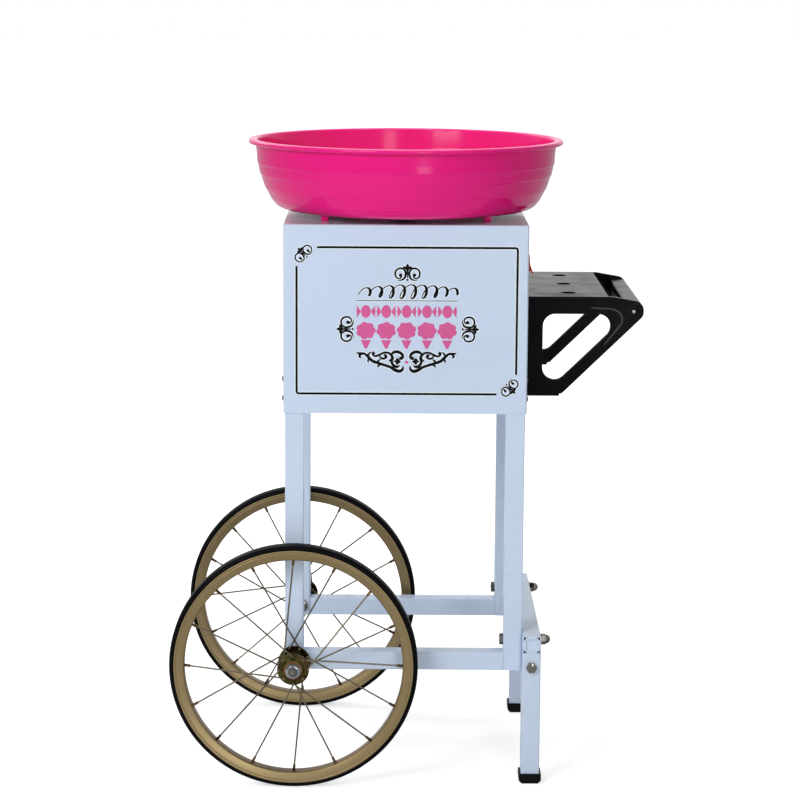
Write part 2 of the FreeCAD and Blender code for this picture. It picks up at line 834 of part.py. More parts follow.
def wheel_bushes(label, side):
    """A flanged bush in each end of the hub."""
    point, _ = wheel_frame(side)
    plane = wheel_plane * side
    rings = []
    for end in (-1, 1):
        body_low = plane + low_end(end, hub_end - d.bush_length, bush_end)
        flange_low = plane + low_end(end, hub_end, bush_end)
        sleeve = rod(f"{label}_sleeve_{end}", "y", at(point, "y", body_low), d.bush_outer_diameter / 2,
                     d.bush_length + d.bush_flange_thickness)
        flange = rod(f"{label}_flange_{end}", "y", at(point, "y", flange_low),
                     d.bush_flange_diameter / 2, d.bush_flange_thickness)
        bore = rod(f"{label}_bore_{end}", "y", at(point, "y", body_low),
                   axle_radius + d.axle_running_play, d.bush_length + d.bush_flange_thickness)
        rings.append(cut(f"{label}_{end}", fuse(f"{label}_blank_{end}", [sleeve, flange]), [bore]))
    node(group(label, rings), label)


def spoke_lines():
    """For each spoke: its hub hole, the elbow beside the flange, and the hole in the rim."""
    lines = []
    pairs = int(d.spoke_pairs.value)
    step = math.pi / pairs
    lead = math.radians(d.spoke_lead.value)
    hole_circle = d.hub_hole_circle.value / 2
    flange = d.hub_flange_spacing.value / 2
    half_flange = d.hub_flange_thickness.value / 2
    wire = d.spoke_diameter.value / 2
    play = d.spoke_hole_play.value
    rim_point = rim_inner.value + d.rim_skin.value / 2
    for k in range(pairs * 2):
        outer = k % 2 == 0
        forward = (k // 2) % 2 == (0 if outer else 1)
        rim_angle = k * step
        hub_angle = rim_angle + (lead if forward else -lead)
        out = -1 if outer else 1
        outside_run = not forward
        beside = half_flange + wire + (wire * 2.2 if outside_run else play)
        face = flange + beside if outside_run else flange - beside
        head = flange - half_flange if outside_run else flange + half_flange
        radial = FreeCAD.Vector(math.cos(hub_angle), 0, math.sin(hub_angle)) * hole_circle
        rim_hole = FreeCAD.Vector(math.cos(rim_angle), 0, math.sin(rim_angle)) * rim_point
        elbow = radial + FreeCAD.Vector(0, out * face, 0)
        head_seat = radial + FreeCAD.Vector(0, out * head, 0)
        lines.append((head_seat, elbow, rim_hole))
    return lines


def add_made_shape(label, shapes, side):
    """A node of straight pieces at many angles, placed like the rest of its wheel."""
    feature = doc.addObject("Part::Feature", label)
    feature.Shape = Part.makeCompound(shapes)
    point, rotation = wheel_frame(side)
    place(feature, point, rotation)
    node(feature, label)


def wheel_spokes(label, side):
    wire = d.spoke_diameter.value / 2
    solids = []
    for head_seat, elbow, rim_hole in spoke_lines():
        along = (rim_hole - elbow).normalize()
        tip = rim_hole - along * (d.nipple_length.value * 0.2)
        run = Part.makeCylinder(wire, (tip - elbow).Length, elbow, along)
        through = head_seat - elbow
        stem = Part.makeCylinder(wire, through.Length, elbow, through)
        bend = Part.makeSphere(wire, elbow)
        head = Part.makeCylinder(wire * 1.8, wire, head_seat, through)
        solids.append(run.multiFuse([stem, bend, head]).removeSplitter().Solids[0])
    add_made_shape(label, solids, side)


def wheel_nipples(label, side):
    radius = d.nipple_diameter.value / 2
    head_radius = d.nipple_head_diameter.value / 2
    bore = d.spoke_diameter.value / 2 + d.nipple_tip_play.value
    length = d.nipple_length.value
    head_start = d.rim_skin.value * 0.9
    solids = []
    for _, elbow, rim_hole in spoke_lines():
        along = (rim_hole - elbow).normalize()
        start = rim_hole - along * length
        shank = Part.makeCylinder(radius, length + head_start, start, along)
        head_seat = rim_hole + along * head_start
        head = Part.makeCylinder(head_radius, d.nipple_head_height.value, head_seat, along)
        hollow = Part.makeCylinder(bore, length * 0.85, start, along)
        solids.append(shank.fuse(head).cut(hollow).removeSplitter().Solids[0])
    add_made_shape(label, solids, side)


def wheel(prefix, side):
    wheel_tyre(f"{prefix}_tyre", side)
    wheel_rim(f"{prefix}_rim", side)
    wheel_spokes(f"{prefix}_spokes", side)
    wheel_nipples(f"{prefix}_nipples", side)
    wheel_hub(f"{prefix}_hub", side)
    wheel_bushes(f"{prefix}_hub_bushes", side)


# ---- cabinet ----

panel_half_width = half_width - d.panel_side_margin
panel_low = d.cabinet_bottom + d.panel_end_margin
panel_high = deck_top - d.panel_end_margin - d.sheet
panel_screw_x = half_width - d.rear_flange / 2 - d.sheet / 2
vent_mid = d.cabinet_bottom + d.vent_rise
shelf_half_depth = half_depth - d.shelf_inset
bracket_screw_y = shelf_half_depth - d.bracket_thickness / 2
bracket_low = d.shelf_top - d.bracket_height
bracket_screw_heights = (bracket_low + d.bracket_screw_low, bracket_low + d.bracket_screw_high)
leg_screw_heights = (d.cabinet_bottom + d.leg_screw_low, d.cabinet_bottom + d.leg_screw_high)


def panel_screw_points():
    low = panel_low + d.leg_overlap + d.screw_head_diameter * 2
    high = panel_high - d.screw_head_diameter * 3
    return [(panel_screw_x * side, height) for side in (-1, 1) for height in (low, (low + high) / 2, high)]


def side_wall_hole(name, side, across, height, radius):
    low = low_end(side, half_width - d.sheet * 2, half_width + d.sheet)
    return rod(name, "x", (low, across, height), radius, d.sheet * 3)


def cabinet_shell():
    """Front and two sides bent from one sheet, with a narrow flange along each rear edge."""
    part = body("shell_blank", (0, 0, d.cabinet_bottom))
    x_in, y_in = half_width - d.sheet, half_depth - d.sheet
    flange = half_width - d.rear_flange
    bend, inner_bend = d.sheet_bend, d.sheet_bend - d.sheet
    outline = [(-flange, half_depth), (-half_width, half_depth, bend), (-half_width, -half_depth, bend),
               (half_width, -half_depth, bend), (half_width, half_depth, bend), (flange, half_depth),
               (flange, y_in), (x_in, y_in, inner_bend), (x_in, -y_in, inner_bend),
               (-x_in, -y_in, inner_bend), (-x_in, y_in, inner_bend), (-flange, y_in)]
    pad(part, "shell_wrap", sketch_on(part, "XY_Plane", "shell_plan", [outline]), d.cabinet_height - d.sheet)
    holes = []
    for side_x in (-1, 1):
        for side_y in (front, rear):
            for i, height in enumerate(leg_screw_heights):
                holes.append(side_wall_hole(f"shell_leg_hole_{side_x}_{side_y}_{i}", side_x,
                                            leg_mid_y * side_y, height, screw_hole))
    for side_y in (front, rear):
        for i, height in enumerate(bracket_screw_heights):
            holes.append(side_wall_hole(f"shell_bracket_hole_{side_y}_{i}", 1,
                                        bracket_screw_y * side_y, height, screw_hole))
    for i, (across, height) in enumerate(panel_screw_points()):
        holes.append(rod(f"shell_panel_hole_{i}", "y", (across, half_depth - d.sheet * 2, height),
                         screw_thread, d.sheet * 3))
    width = d.switch_body_width + d.cutout_play * 2
    height = d.switch_body_height + d.cutout_play * 2
    holes.append(box("shell_switch_cutout",
                     (half_width - d.sheet * 2, d.switch_across - width / 2, d.switch_height - height / 2),
                     (d.sheet * 3, width, height)))
    node(cut("cabinet_shell", part, holes), "cabinet_shell")


def cabinet_top():
    """A flat lid with a flange that stands inside the shell."""
    part = body("top_blank", (0, 0, deck_under))
    plate = rectangle(-half_width, half_width, -half_depth, half_depth, d.sheet_bend)
    pad(part, "top_plate", sketch_on(part, "XY_Plane", "top_outline", [plate]), d.sheet)
    play = d.sheet + d.deck_flange_play
    x_out, y_out = half_width - play, half_depth - play
    x_in, y_in = x_out - d.sheet, y_out - d.sheet
    flange = sketch_on(part, "XY_Plane", "top_flange_plan", [
        rectangle(-x_out, x_out, -y_out, y_out, d.sheet_bend),
        rectangle(-x_in, x_in, -y_in, y_in, d.sheet_bend - d.sheet)])
    ring_feature = pad(part, "top_flange", flange, d.deck_flange, backwards=True)
    doc.recompute()
    edges = []
    for i, edge in enumerate(ring_feature.Shape.Edges, start=1):
        outer_edge = edge.BoundBox.ZMin > d.sheet.value - 0.01
        if outer_edge:
            edges.append(f"Edge{i}")
    rounded = part.newObject("PartDesign::Fillet", "top_round")
    rounded.Base = (ring_feature, edges)
    bind(rounded, "Radius", d.deck_edge_round)
    holes = [rod("top_shaft_hole", "z", (0, 0, deck_under - d.sheet), d.collar_bore / 2, d.sheet * 3)]
    for i, (x, y) in enumerate(mount_points()):
        holes.append(rod(f"top_mount_hole_{i}", "z", (x, y, deck_under - d.sheet), screw_hole, d.sheet * 3))
    node(cut("cabinet_top", part, holes), "cabinet_top")


def cabinet_back_panel():
    part = body("panel_blank", (0, half_depth, 0))
    plate = rectangle(-panel_half_width, panel_half_width, panel_low, panel_high, d.sheet_bend)
    pad(part, "panel_plate", sketch_on(part, "XZ_Plane", "panel_outline", [plate]), d.panel_thickness,
        backwards=True)
    first = d.vent_pitch * ((1 - d.vent_count.value) / 2)
    half = d.vent_width / 2
    slot = rectangle(first - half, first + half, vent_mid - d.vent_height / 2, vent_mid + d.vent_height / 2,
                     half * 0.98)
    opening = pocket(part, "panel_vent", sketch_on(part, "XZ_Plane", "panel_vent_outline", [slot]),
                     d.panel_thickness)
    linear(part, "panel_vents", opening, "X_Axis", d.vent_pitch * (d.vent_count.value - 1), d.vent_count)
    start = half_depth - d.panel_thickness
    depth = d.panel_thickness * 3
    holes = [rod(f"panel_hole_{i}", "y", (x, start, z), screw_hole, depth)
             for i, (x, z) in enumerate(panel_screw_points())]
    holes.append(rod("panel_gland_hole", "y", (d.gland_across, start, d.cabinet_bottom + d.gland_rise),
                     d.gland_body_diameter / 2 + d.hole_play, depth))
    node(cut("cabinet_back_panel", part, holes), "cabinet_back_panel")


def cabinet_floor():
    """The bottom plate, notched round the four legs and touching the shell's inner faces."""
    part = body("cabinet_floor", (0, 0, d.cabinet_bottom))
    x_out, y_out = half_width - d.sheet, half_depth - d.sheet
    notch_x = leg_out_x - d.tube_side - d.leg_play
    notch_y = leg_out_y - d.tube_side - d.leg_play
    outline = [(-notch_x, -y_out), (notch_x, -y_out), (notch_x, -notch_y), (x_out, -notch_y),
               (x_out, notch_y), (notch_x, notch_y), (notch_x, y_out), (-notch_x, y_out),
               (-notch_x, notch_y), (-x_out, notch_y), (-x_out, -notch_y), (-notch_x, -notch_y)]
    pad(part, "floor_plate", sketch_on(part, "XY_Plane", "floor_outline", [outline]), d.sheet)
    node(part, "cabinet_floor")


def cabinet_screws():
    screws = []
    for side_x in (-1, 1):
        for side_y in (front, rear):
            for i, height in enumerate(leg_screw_heights):
                screws.append(fastener(
                    f"leg_screw_{side_x}_{side_y}_{i}", "x", -side_x, (0, leg_mid_y * side_y, height),
                    half_width * side_x, screw_radius, d.leg_screw_reach, d.screw_head_diameter / 2,
                    d.screw_head_height))
    for i, (x, z) in enumerate(panel_screw_points()):
        screws.append(fastener(f"panel_screw_{i}", "y", -1, (x, 0, z), half_depth + d.panel_thickness,
                               screw_radius, d.leg_screw_reach, d.screw_head_diameter / 2,
                               d.screw_head_height))
    node(group("cabinet_screws", screws), "cabinet_screws")


def cord_gland():
    """A snap-in gland: flange outside the panel, catch behind it, and a bore for the cord."""
    centre = (d.gland_across, 0, d.cabinet_bottom + d.gland_rise)
    outer_face = half_depth + d.panel_thickness
    inner_end = half_depth - d.gland_body_length
    stem = rod("gland_stem", "y", at(centre, "y", inner_end), d.gland_body_diameter / 2,
               outer_face - inner_end)
    catch = doc.addObject("Part::Cone", "gland_catch")
    bind(catch, "Radius1", d.gland_body_diameter / 2)
    bind(catch, "Radius2", d.gland_body_diameter / 2 + d.gland_catch)
    bind(catch, "Height", d.gland_body_length / 2)
    place(catch, at(centre, "y", half_depth - d.gland_body_length / 2), turned["y"])
    flange = rod("gland_flange", "y", at(centre, "y", outer_face), d.gland_flange_diameter / 2,
                 d.gland_flange_height)
    nose = doc.addObject("Part::Cone", "gland_nose")
    bind(nose, "Radius1", d.gland_flange_diameter / 2 - 2)
    bind(nose, "Radius2", d.gland_bore / 2 + 2)
    bind(nose, "Height", d.gland_flange_height * 2)
    place(nose, at(centre, "y", outer_face + d.gland_flange_height), turned["y"])
    bore = rod("gland_bore", "y", at(centre, "y", inner_end), d.gland_bore / 2,
               outer_face - inner_end + d.gland_flange_height * 3)
    node(cut("cord_gland", fuse("gland_blank", [stem, catch, flange, nose]), [bore]), "cord_gland")


def terminal_block():
    low = (d.gland_across - d.terminal_width / 2, half_depth / 2, d.cabinet_bottom + d.sheet)
    block = box("terminal_blank", low, (d.terminal_width, d.terminal_depth, d.terminal_height))
    count = int(d.terminal_width.value / d.terminal_screw_pitch.value)
    wells = [
        rod(f"terminal_well_{i}", "z",
            (low[0] + d.terminal_screw_pitch * (i + 0.5), low[1] + d.terminal_depth / 2,
             low[2] + d.terminal_height / 2),
            d.terminal_screw_pitch * 0.3, d.terminal_height)
        for i in range(count)
    ]
    node(cut("terminal_block", block, wells), "terminal_block")


# ---- power switch: built about the rocker's pivot ----

pivot_x = half_width + d.bezel_thickness


def switch_housing():
    """A bezel on the side wall and a box behind it, open to the outside, with two pivot holes."""
    part = body("switch_blank", (0, d.switch_across, d.switch_height))
    hole_y = d.switch_body_width / 2 - d.switch_wall
    hole_z = d.switch_body_height / 2 - d.switch_wall
    bezel = sketch_on(part, "YZ_Plane", "bezel_outline", [
        rectangle(-d.bezel_width / 2, d.bezel_width / 2, -d.bezel_height / 2, d.bezel_height / 2, 2)],
        offset=half_width)
    pad(part, "bezel", bezel, d.bezel_thickness)
    case = sketch_on(part, "YZ_Plane", "case_outline", [
        rectangle(-d.switch_body_width / 2, d.switch_body_width / 2,
                  -d.switch_body_height / 2, d.switch_body_height / 2)], offset=half_width)
    pad(part, "case", case, d.switch_body_depth, backwards=True)
    well = sketch_on(part, "YZ_Plane", "well_outline", [rectangle(-hole_y, hole_y, -hole_z, hole_z)],
                     offset=pivot_x)
    pocket(part, "well", well, d.switch_body_depth + d.bezel_thickness - d.switch_wall)
    pin_hole = rod("switch_pin_hole", "y", (pivot_x - d.rocker_depth, d.switch_across - d.bezel_width / 2,
                                             d.switch_height),
                   d.rocker_pin_diameter / 2 + d.rocker_pin_play, d.bezel_width)
    node(cut("switch_housing", part, [pin_hole]), "switch_housing")


def switch_rocker():
    """A paddle with a hollow V face over the bezel, and a narrower skirt that swings in the well."""
    pivot = pivot_x - d.rocker_depth
    lean = FreeCAD.Rotation(FreeCAD.Vector(0, 1, 0), -d.rocker_throw.value / 2)
    part = body("rocker_blank", (pivot, d.switch_across, d.switch_height), lean)
    top, end = d.rocker_end_height, d.rocker_end_reach
    under = top - d.rocker_end_thickness
    under_end = end - d.rocker_play
    keel = d.rocker_valley - d.rocker_web
    paddle = [(top, -end, 0.6), (d.rocker_valley, 0, d.rocker_valley_round), (top, end, 0.6),
              (under, under_end), (keel, 0), (under, -under_end)]
    half = d.rocker_width / 2
    outline = sketch_on(part, "XZ_Plane", "paddle_profile", [paddle], offset=-half)
    pad(part, "paddle", outline, half * 2)
    skirt = d.rocker_skirt
    neck = (skirt * 0.57, skirt * 0.82)
    deep = (skirt * -0.14, skirt * 0.985)
    foot = (skirt * -0.45, skirt * 0.5)
    web = [(neck[0], -neck[1]), (keel + d.rocker_web / 2, 0), neck, deep, foot, (foot[0], -foot[1]),
           (deep[0], -deep[1])]
    narrow = d.switch_body_width / 2 - d.switch_wall - d.rocker_play
    inner = sketch_on(part, "XZ_Plane", "skirt_profile", [web], offset=-narrow)
    pad(part, "skirt", inner, narrow * 2)
    pin_half = d.switch_body_width / 2 - d.rocker_play
    pin = rod("rocker_pin", "y", (pivot, d.switch_across - pin_half, d.switch_height),
              d.rocker_pin_diameter / 2, pin_half * 2)
    node(fuse("switch_rocker", [part, pin]), "switch_rocker")


# ---- side shelf ----

bracket_x = half_width
eye_x = d.handle_reach
eye_z = d.bracket_height - d.handle_drop
cone_x = half_width + d.cone_hole_reach
deck_seat = d.shelf_top - d.shelf_plate


def shelf_deck():
    part = body("shelf_blank", (0, 0, d.shelf_top - d.shelf_plate))
    plate = rectangle(half_width, half_width + d.shelf_reach, -shelf_half_depth, shelf_half_depth)
    holes = [((cone_x, d.cone_hole_pitch * i), d.cone_hole_diameter / 2) for i in (-1, 0, 1)]
    sketch = sketch_on(part, "XY_Plane", "shelf_outline", [plate], holes)
    pad(part, "shelf_plate_pad", sketch, d.shelf_plate)
    screw_holes = [
        rod(f"shelf_screw_hole_{i}", "z", (x, y, deck_seat), screw_thread, d.deck_screw_bite + d.hole_play)
        for i, (x, y) in enumerate(deck_screw_points())
    ]
    node(cut("shelf_deck", part, screw_holes), "shelf_deck")


def deck_screw_points():
    across = shelf_half_depth - d.bracket_thickness - d.bracket_ledge / 2
    return [(half_width + reach, across * side)
            for side in (front, rear)
            for reach in (d.deck_screw_inset, d.shelf_reach - d.deck_screw_inset)]


def bracket_profile():
    """Outline of a bracket from its lower inner corner, and of its window. x runs out from the wall."""
    slope = math.radians(d.bracket_arm_slope.value)
    rise = math.tan(slope)
    eye = d.handle_eye_diameter / 2
    plate_seat = d.bracket_height - d.shelf_plate
    eye_right = eye_x + eye
    arm_x = eye_x + eye * math.sin(slope)
    arm_z = eye_z - eye * math.cos(slope)
    toe_z = d.bracket_foot_step
    toe_x = arm_x - (arm_z - toe_z) / rise
    cut_z = arm_z - (arm_x - eye_right) * rise
    outline = [(0, 0), (d.bracket_foot, 0), (d.bracket_foot, toe_z), (toe_x, toe_z, d.bracket_toe),
               (eye_right, cut_z, eye * 0.8), (eye_right, eye_z + eye * 0.98, eye * 0.98),
               (d.shelf_reach + d.bracket_toe, d.bracket_height, 2), (d.shelf_reach, d.bracket_height),
               (d.shelf_reach, plate_seat), (0, plate_seat)]
    window_top = d.bracket_height - d.bracket_top_bar
    inset = d.bracket_arm / math.cos(slope)
    low_z = toe_z + inset + (d.bracket_bar - toe_x) * rise
    high_x = toe_x + (window_top - toe_z - inset) / rise
    window = [(d.bracket_bar, low_z, d.window_round), (high_x, window_top, d.window_round),
              (d.bracket_bar, window_top, d.window_round)]
    return outline, window


def shelf_bracket(label, side):
    part = body(f"{label}_blank", (bracket_x, shelf_half_depth * side, bracket_low))
    outline, window = bracket_profile()
    plate = sketch_on(part, "XZ_Plane", f"{label}_outline", [outline, window])
    pad(part, f"{label}_plate", plate, d.bracket_thickness, backwards=side < 0)
    seat = d.bracket_height - d.shelf_plate
    ledge = rectangle(0, d.shelf_reach - d.bracket_toe, seat - d.bracket_ledge_thickness, seat)
    pad(part, f"{label}_ledge", sketch_on(part, "XZ_Plane", f"{label}_ledge_outline", [ledge]),
        d.bracket_thickness + d.bracket_ledge, backwards=side < 0)
    centre = (bracket_x + eye_x, 0, bracket_low + eye_z)
    inner = shelf_half_depth - d.bracket_thickness
    holes = [rod(f"{label}_eye_hole", "y", at(centre, "y", low_end(side, inner, shelf_half_depth)),
                 d.handle_screw_diameter / 2 + d.hole_play, d.bracket_thickness)]
    sink = shelf_half_depth - d.handle_screw_recess
    holes.append(rod(f"{label}_eye_sink", "y", at(centre, "y", low_end(side, sink, shelf_half_depth)),
                     d.handle_screw_head / 2 + d.hole_play, d.handle_screw_recess))
    for i, height in enumerate(bracket_screw_heights):
        holes.append(rod(f"{label}_wall_hole_{i}", "x", (bracket_x, bracket_screw_y * side, height),
                         screw_thread, d.bracket_screw_reach))
    for i, (x, y) in enumerate(deck_screw_points()):
        if y.value * side > 0:
            holes.append(rod(f"{label}_deck_hole_{i}", "z", (x, y, deck_seat - d.bracket_ledge_thickness),
                             screw_hole, d.bracket_ledge_thickness))
    node(cut(label, part, holes), label)


def handle_grip():
    """A bar with a flat top and rounded sides between the two brackets."""
    inner = shelf_half_depth - d.bracket_thickness - d.grip_play
    part = body("grip_blank", (bracket_x + eye_x, 0, bracket_low + eye_z))
    half, tall = d.grip_width / 2, d.grip_height / 2
    corners = [(-half, -tall, d.grip_round), (half, -tall, d.grip_round),
               (half, tall * 0.6, 4), (half * 0.55, tall, 4), (-half * 0.75, tall, 4), (-half, tall * 0.5, 4)]
    sketch = sketch_on(part, "XZ_Plane", "grip_section", [corners], offset=-inner)
    pad(part, "grip_bar", sketch, inner * 2)
    holes = []
    depth = d.handle_screw_reach - (d.bracket_thickness - d.handle_screw_recess)
    for side in (front, rear):
        holes.append(rod(f"grip_hole_{side}", "y",
                         (bracket_x + eye_x, low_end(side, inner - depth, inner), bracket_low + eye_z),
                         d.handle_screw_diameter / 2 + d.thread_play, depth))
    node(cut("handle_grip", part, holes), "handle_grip")


def shelf_screws():
    centre = (bracket_x + eye_x, 0, bracket_low + eye_z)
    head_height = d.handle_screw_recess - 0.5
    seat = shelf_half_depth - d.handle_screw_recess
    node(group("handle_screws", [
        fastener(f"handle_screw_{side}", "y", -side, centre, seat * side, d.handle_screw_diameter / 2,
                 d.handle_screw_reach - d.grip_play, d.handle_screw_head / 2, head_height)
        for side in (front, rear)]), "handle_screws")
    wall_screws = []
    for side in (front, rear):
        for i, height in enumerate(bracket_screw_heights):
            wall_screws.append(fastener(
                f"bracket_screw_{side}_{i}", "x", 1, (0, bracket_screw_y * side, height),
                half_width - d.sheet, screw_radius, d.sheet + d.bracket_screw_reach - 1,
                d.screw_head_diameter / 2, d.screw_head_height))
    node(group("bracket_screws", wall_screws), "bracket_screws")
    node(group("shelf_deck_screws", [
        fastener(f"deck_screw_{i}", "z", 1, (x, y, 0), deck_seat - d.bracket_ledge_thickness, screw_radius,
                 d.bracket_ledge_thickness + d.deck_screw_bite, d.screw_head_diameter / 2,
                 d.screw_head_height)
        for i, (x, y) in enumerate(deck_screw_points())]), "shelf_deck_screws")


# ---- floss drive, from the motor up to the spinner head ----

plate_top = deck_under - d.standoff_length
plate_low = plate_top - d.motor_plate_thickness
motor_low = plate_low - d.motor_height
shaft_radius = d.shaft_diameter / 2
dish_low = deck_top + d.collar_height
holder_low = dish_low + d.dish_sheet
element_mid = holder_low + d.holder_height + d.element_diameter / 2 + d.element_seat_play
spinner_low = element_mid + d.element_diameter / 2 + d.spinner_gap
spinner_top = spinner_low + d.spinner_sheet + d.spinner_wall
spinner_nut_low = spinner_low + d.spinner_hub_height
axis_point = (0, 0, 0)


def mount_points():
    return [(d.standoff_across * i, d.standoff_along * j) for i in (-1, 1) for j in (-1, 1)]


def motor_mounting():
    low = (-d.motor_plate_width / 2, -d.motor_plate_depth / 2, plate_low)
    plate = box("motor_plate_blank", low, (d.motor_plate_width, d.motor_plate_depth, d.motor_plate_thickness))
    holes = [rod(f"motor_plate_hole_{i}", "z", (x, y, plate_low), screw_thread, d.motor_plate_thickness)
             for i, (x, y) in enumerate(mount_points())]
    holes.append(rod("motor_plate_bore", "z", (0, 0, plate_low), d.bearing_diameter / 2 + d.hole_play,
                     d.motor_plate_thickness))
    node(cut("motor_plate", plate, holes), "motor_plate")
    standoffs, screws = [], []
    for i, (x, y) in enumerate(mount_points()):
        centre = (x, y, 0)
        standoffs.append(ring(f"standoff_{i}", "z", centre, plate_top, d.standoff_diameter / 2,
                              screw_hole, d.standoff_length))
        reach = d.sheet + d.standoff_length + d.motor_plate_thickness + 1
        screws.append(fastener(f"mount_screw_{i}", "z", -1, centre, deck_top, screw_radius, reach,
                               d.screw_head_diameter / 2, d.screw_head_height))
    node(group("motor_standoffs", standoffs), "motor_standoffs")
    node(group("motor_mount_screws", screws), "motor_mount_screws")


def motor_housing():
    """A can with two ends, each bored for a bearing."""
    part = body("motor_housing", (0, 0, motor_low))
    bore = d.bearing_diameter / 2 + d.shaft_play
    outer = d.motor_diameter / 2
    inner = outer - d.motor_skin
    top, end = d.motor_height, d.motor_end
    profile = [(bore, 0), (outer, 0, 3), (outer, top, 3), (bore, top), (bore, top - end),
               (inner, top - end), (inner, end), (bore, end)]
    revolve(part, "motor_can", sketch_on(part, "XZ_Plane", "motor_section", [profile]))
    node(part, "motor_housing")


def motor_inside():
    running = shaft_radius + d.shaft_play
    bearings = [
        ring("bearing_low", "z", axis_point, motor_low, d.bearing_diameter / 2, running, d.bearing_length),
        ring("bearing_high", "z", axis_point, plate_low - d.bearing_length, d.bearing_diameter / 2, running,
             d.bearing_length),
    ]
    node(group("motor_bearings", bearings), "motor_bearings")
    rotor_length = d.motor_height - (d.motor_end + d.rotor_end_gap) * 2
    rotor = ring("motor_rotor", "z", axis_point, motor_low + d.motor_end + d.rotor_end_gap,
                 d.motor_diameter / 2 - d.motor_skin - d.rotor_gap, running, rotor_length)
    node(rotor, "motor_rotor")
    top = spinner_nut_low + d.spinner_nut_height + d.shaft_tip
    node(rod("motor_shaft", "z", (0, 0, motor_low), shaft_radius, top - motor_low), "motor_shaft")


def motor_collar():
    """The black neck on the deck that carries the heater dish."""
    part = body("motor_collar", (0, 0, deck_top))
    bore = d.collar_bore / 2
    flange, tube = d.collar_flange_diameter / 2, d.collar_diameter / 2
    clear = d.standoff_across - d.screw_head_diameter
    profile = [(bore, 0), (flange, 0), (flange, d.collar_flange_thickness, 1),
               (tube, d.collar_flange_thickness, 3), (tube, d.collar_height), (bore, d.collar_height)]
    if clear.value < flange.value:
        raise ValueError("the collar's flange reaches the motor's mounting screws")
    revolve(part, "collar_turned", sketch_on(part, "XZ_Plane", "collar_section", [profile]))
    node(part, "motor_collar")


def heater():
    part = body("heater_dish", (0, 0, dish_low))
    bore, outer, skin = d.collar_bore / 2, d.dish_diameter / 2, d.dish_sheet
    profile = [(bore, 0), (outer, 0, 3), (outer, d.dish_rim), (outer - skin, d.dish_rim),
               (outer - skin, skin, 1.8), (bore, skin)]
    revolve(part, "dish_pressed", sketch_on(part, "XZ_Plane", "dish_section", [profile]))
    node(part, "heater_dish")
    element = doc.addObject("Part::Torus", "heating_element")
    bind(element, "Radius1", d.element_ring_diameter / 2)
    bind(element, "Radius2", d.element_diameter / 2)
    place(element, (0, 0, element_mid))
    node(element, "heating_element")
    radius = d.element_ring_diameter / 2
    count = int(d.holder_count.value)
    holders = []
    for i in range(count):
        angle = 2 * math.pi * i / count
        point = (radius * math.cos(angle), radius * math.sin(angle), holder_low)
        holders.append(rod(f"holder_{i}", "z", point, d.holder_diameter / 2, d.holder_height))
    node(group("element_holders", holders), "element_holders")


def spinner():
    running = shaft_radius + d.shaft_play
    outer, skin = d.spinner_diameter / 2, d.spinner_sheet
    hub = d.spinner_hub_diameter / 2
    wall_top = skin + d.spinner_wall
    base = body("spinner_base", (0, 0, spinner_low))
    profile = [(running, 0), (outer, 0, 2.5), (outer, wall_top), (outer - skin, wall_top),
               (outer - skin, skin, 1), (hub, skin), (hub, d.spinner_hub_height),
               (running, d.spinner_hub_height)]
    revolve(base, "spinner_pan", sketch_on(base, "XZ_Plane", "spinner_section", [profile]))
    half_slot = d.spinner_slot_width / 2
    slot = sketch_on(base, "YZ_Plane", "slot_outline", [
        rectangle(-half_slot, half_slot, skin + d.spinner_slot_margin, wall_top - d.spinner_slot_margin)],
        offset=outer - skin * 3)
    opening = pocket(base, "spinner_slot", slot, skin * 6, backwards=True)
    polar(base, "spinner_slots_ring", opening, "Z_Axis", d.spinner_slots)
    node(base, "spinner_base")
    cap = body("spinner_cap", (0, 0, spinner_top))
    mouth = d.spinner_mouth / 2
    funnel = mouth - d.spinner_funnel_inset
    edge = outer + d.spinner_cap_lip
    section = [(funnel, -d.spinner_funnel_drop), (mouth, 0), (edge, 0), (edge, skin, 0.8),
               (mouth - skin * 0.4, skin), (funnel - skin * 0.4, skin - d.spinner_funnel_drop)]
    revolve(cap, "spinner_lid", sketch_on(cap, "XZ_Plane", "cap_section", [section]))
    node(cap, "spinner_cap")
    blank = hexagon("spinner_nut_blank", "z", (0, 0, spinner_nut_low), d.spinner_nut_across_flats,
                    d.spinner_nut_height)
    hole = rod("spinner_nut_hole", "z", (0, 0, spinner_nut_low), running, d.spinner_nut_height)
    node(cut("spinner_nut", blank, [hole]), "spinner_nut")


# ---- bowl ----

rim = d.bowl_rim_diameter / 2
bowl_floor_radius = rim - d.bowl_floor_inset
bowl_foot_x = bowl_floor_radius * 0.6136
bowl_foot_y = bowl_floor_radius * 0.6534


def inset_corner(before, here, after, wall):
    """The corner moved inwards by a wall's thickness from both of its sides, to the left of the path."""
    points = [FreeCAD.Vector(as_size(p[0]).value, as_size(p[1]).value) for p in (before, here, after)]
    arrive = (points[1] - points[0]).normalize()
    leave = (points[2] - points[1]).normalize()
    normal = FreeCAD.Vector(-arrive.y - leave.y, arrive.x + leave.x).normalize()
    stretch = 1 / normal.dot(FreeCAD.Vector(-arrive.y, arrive.x))
    return here[0] + wall * (normal.x * stretch), here[1] + wall * (normal.y * stretch)


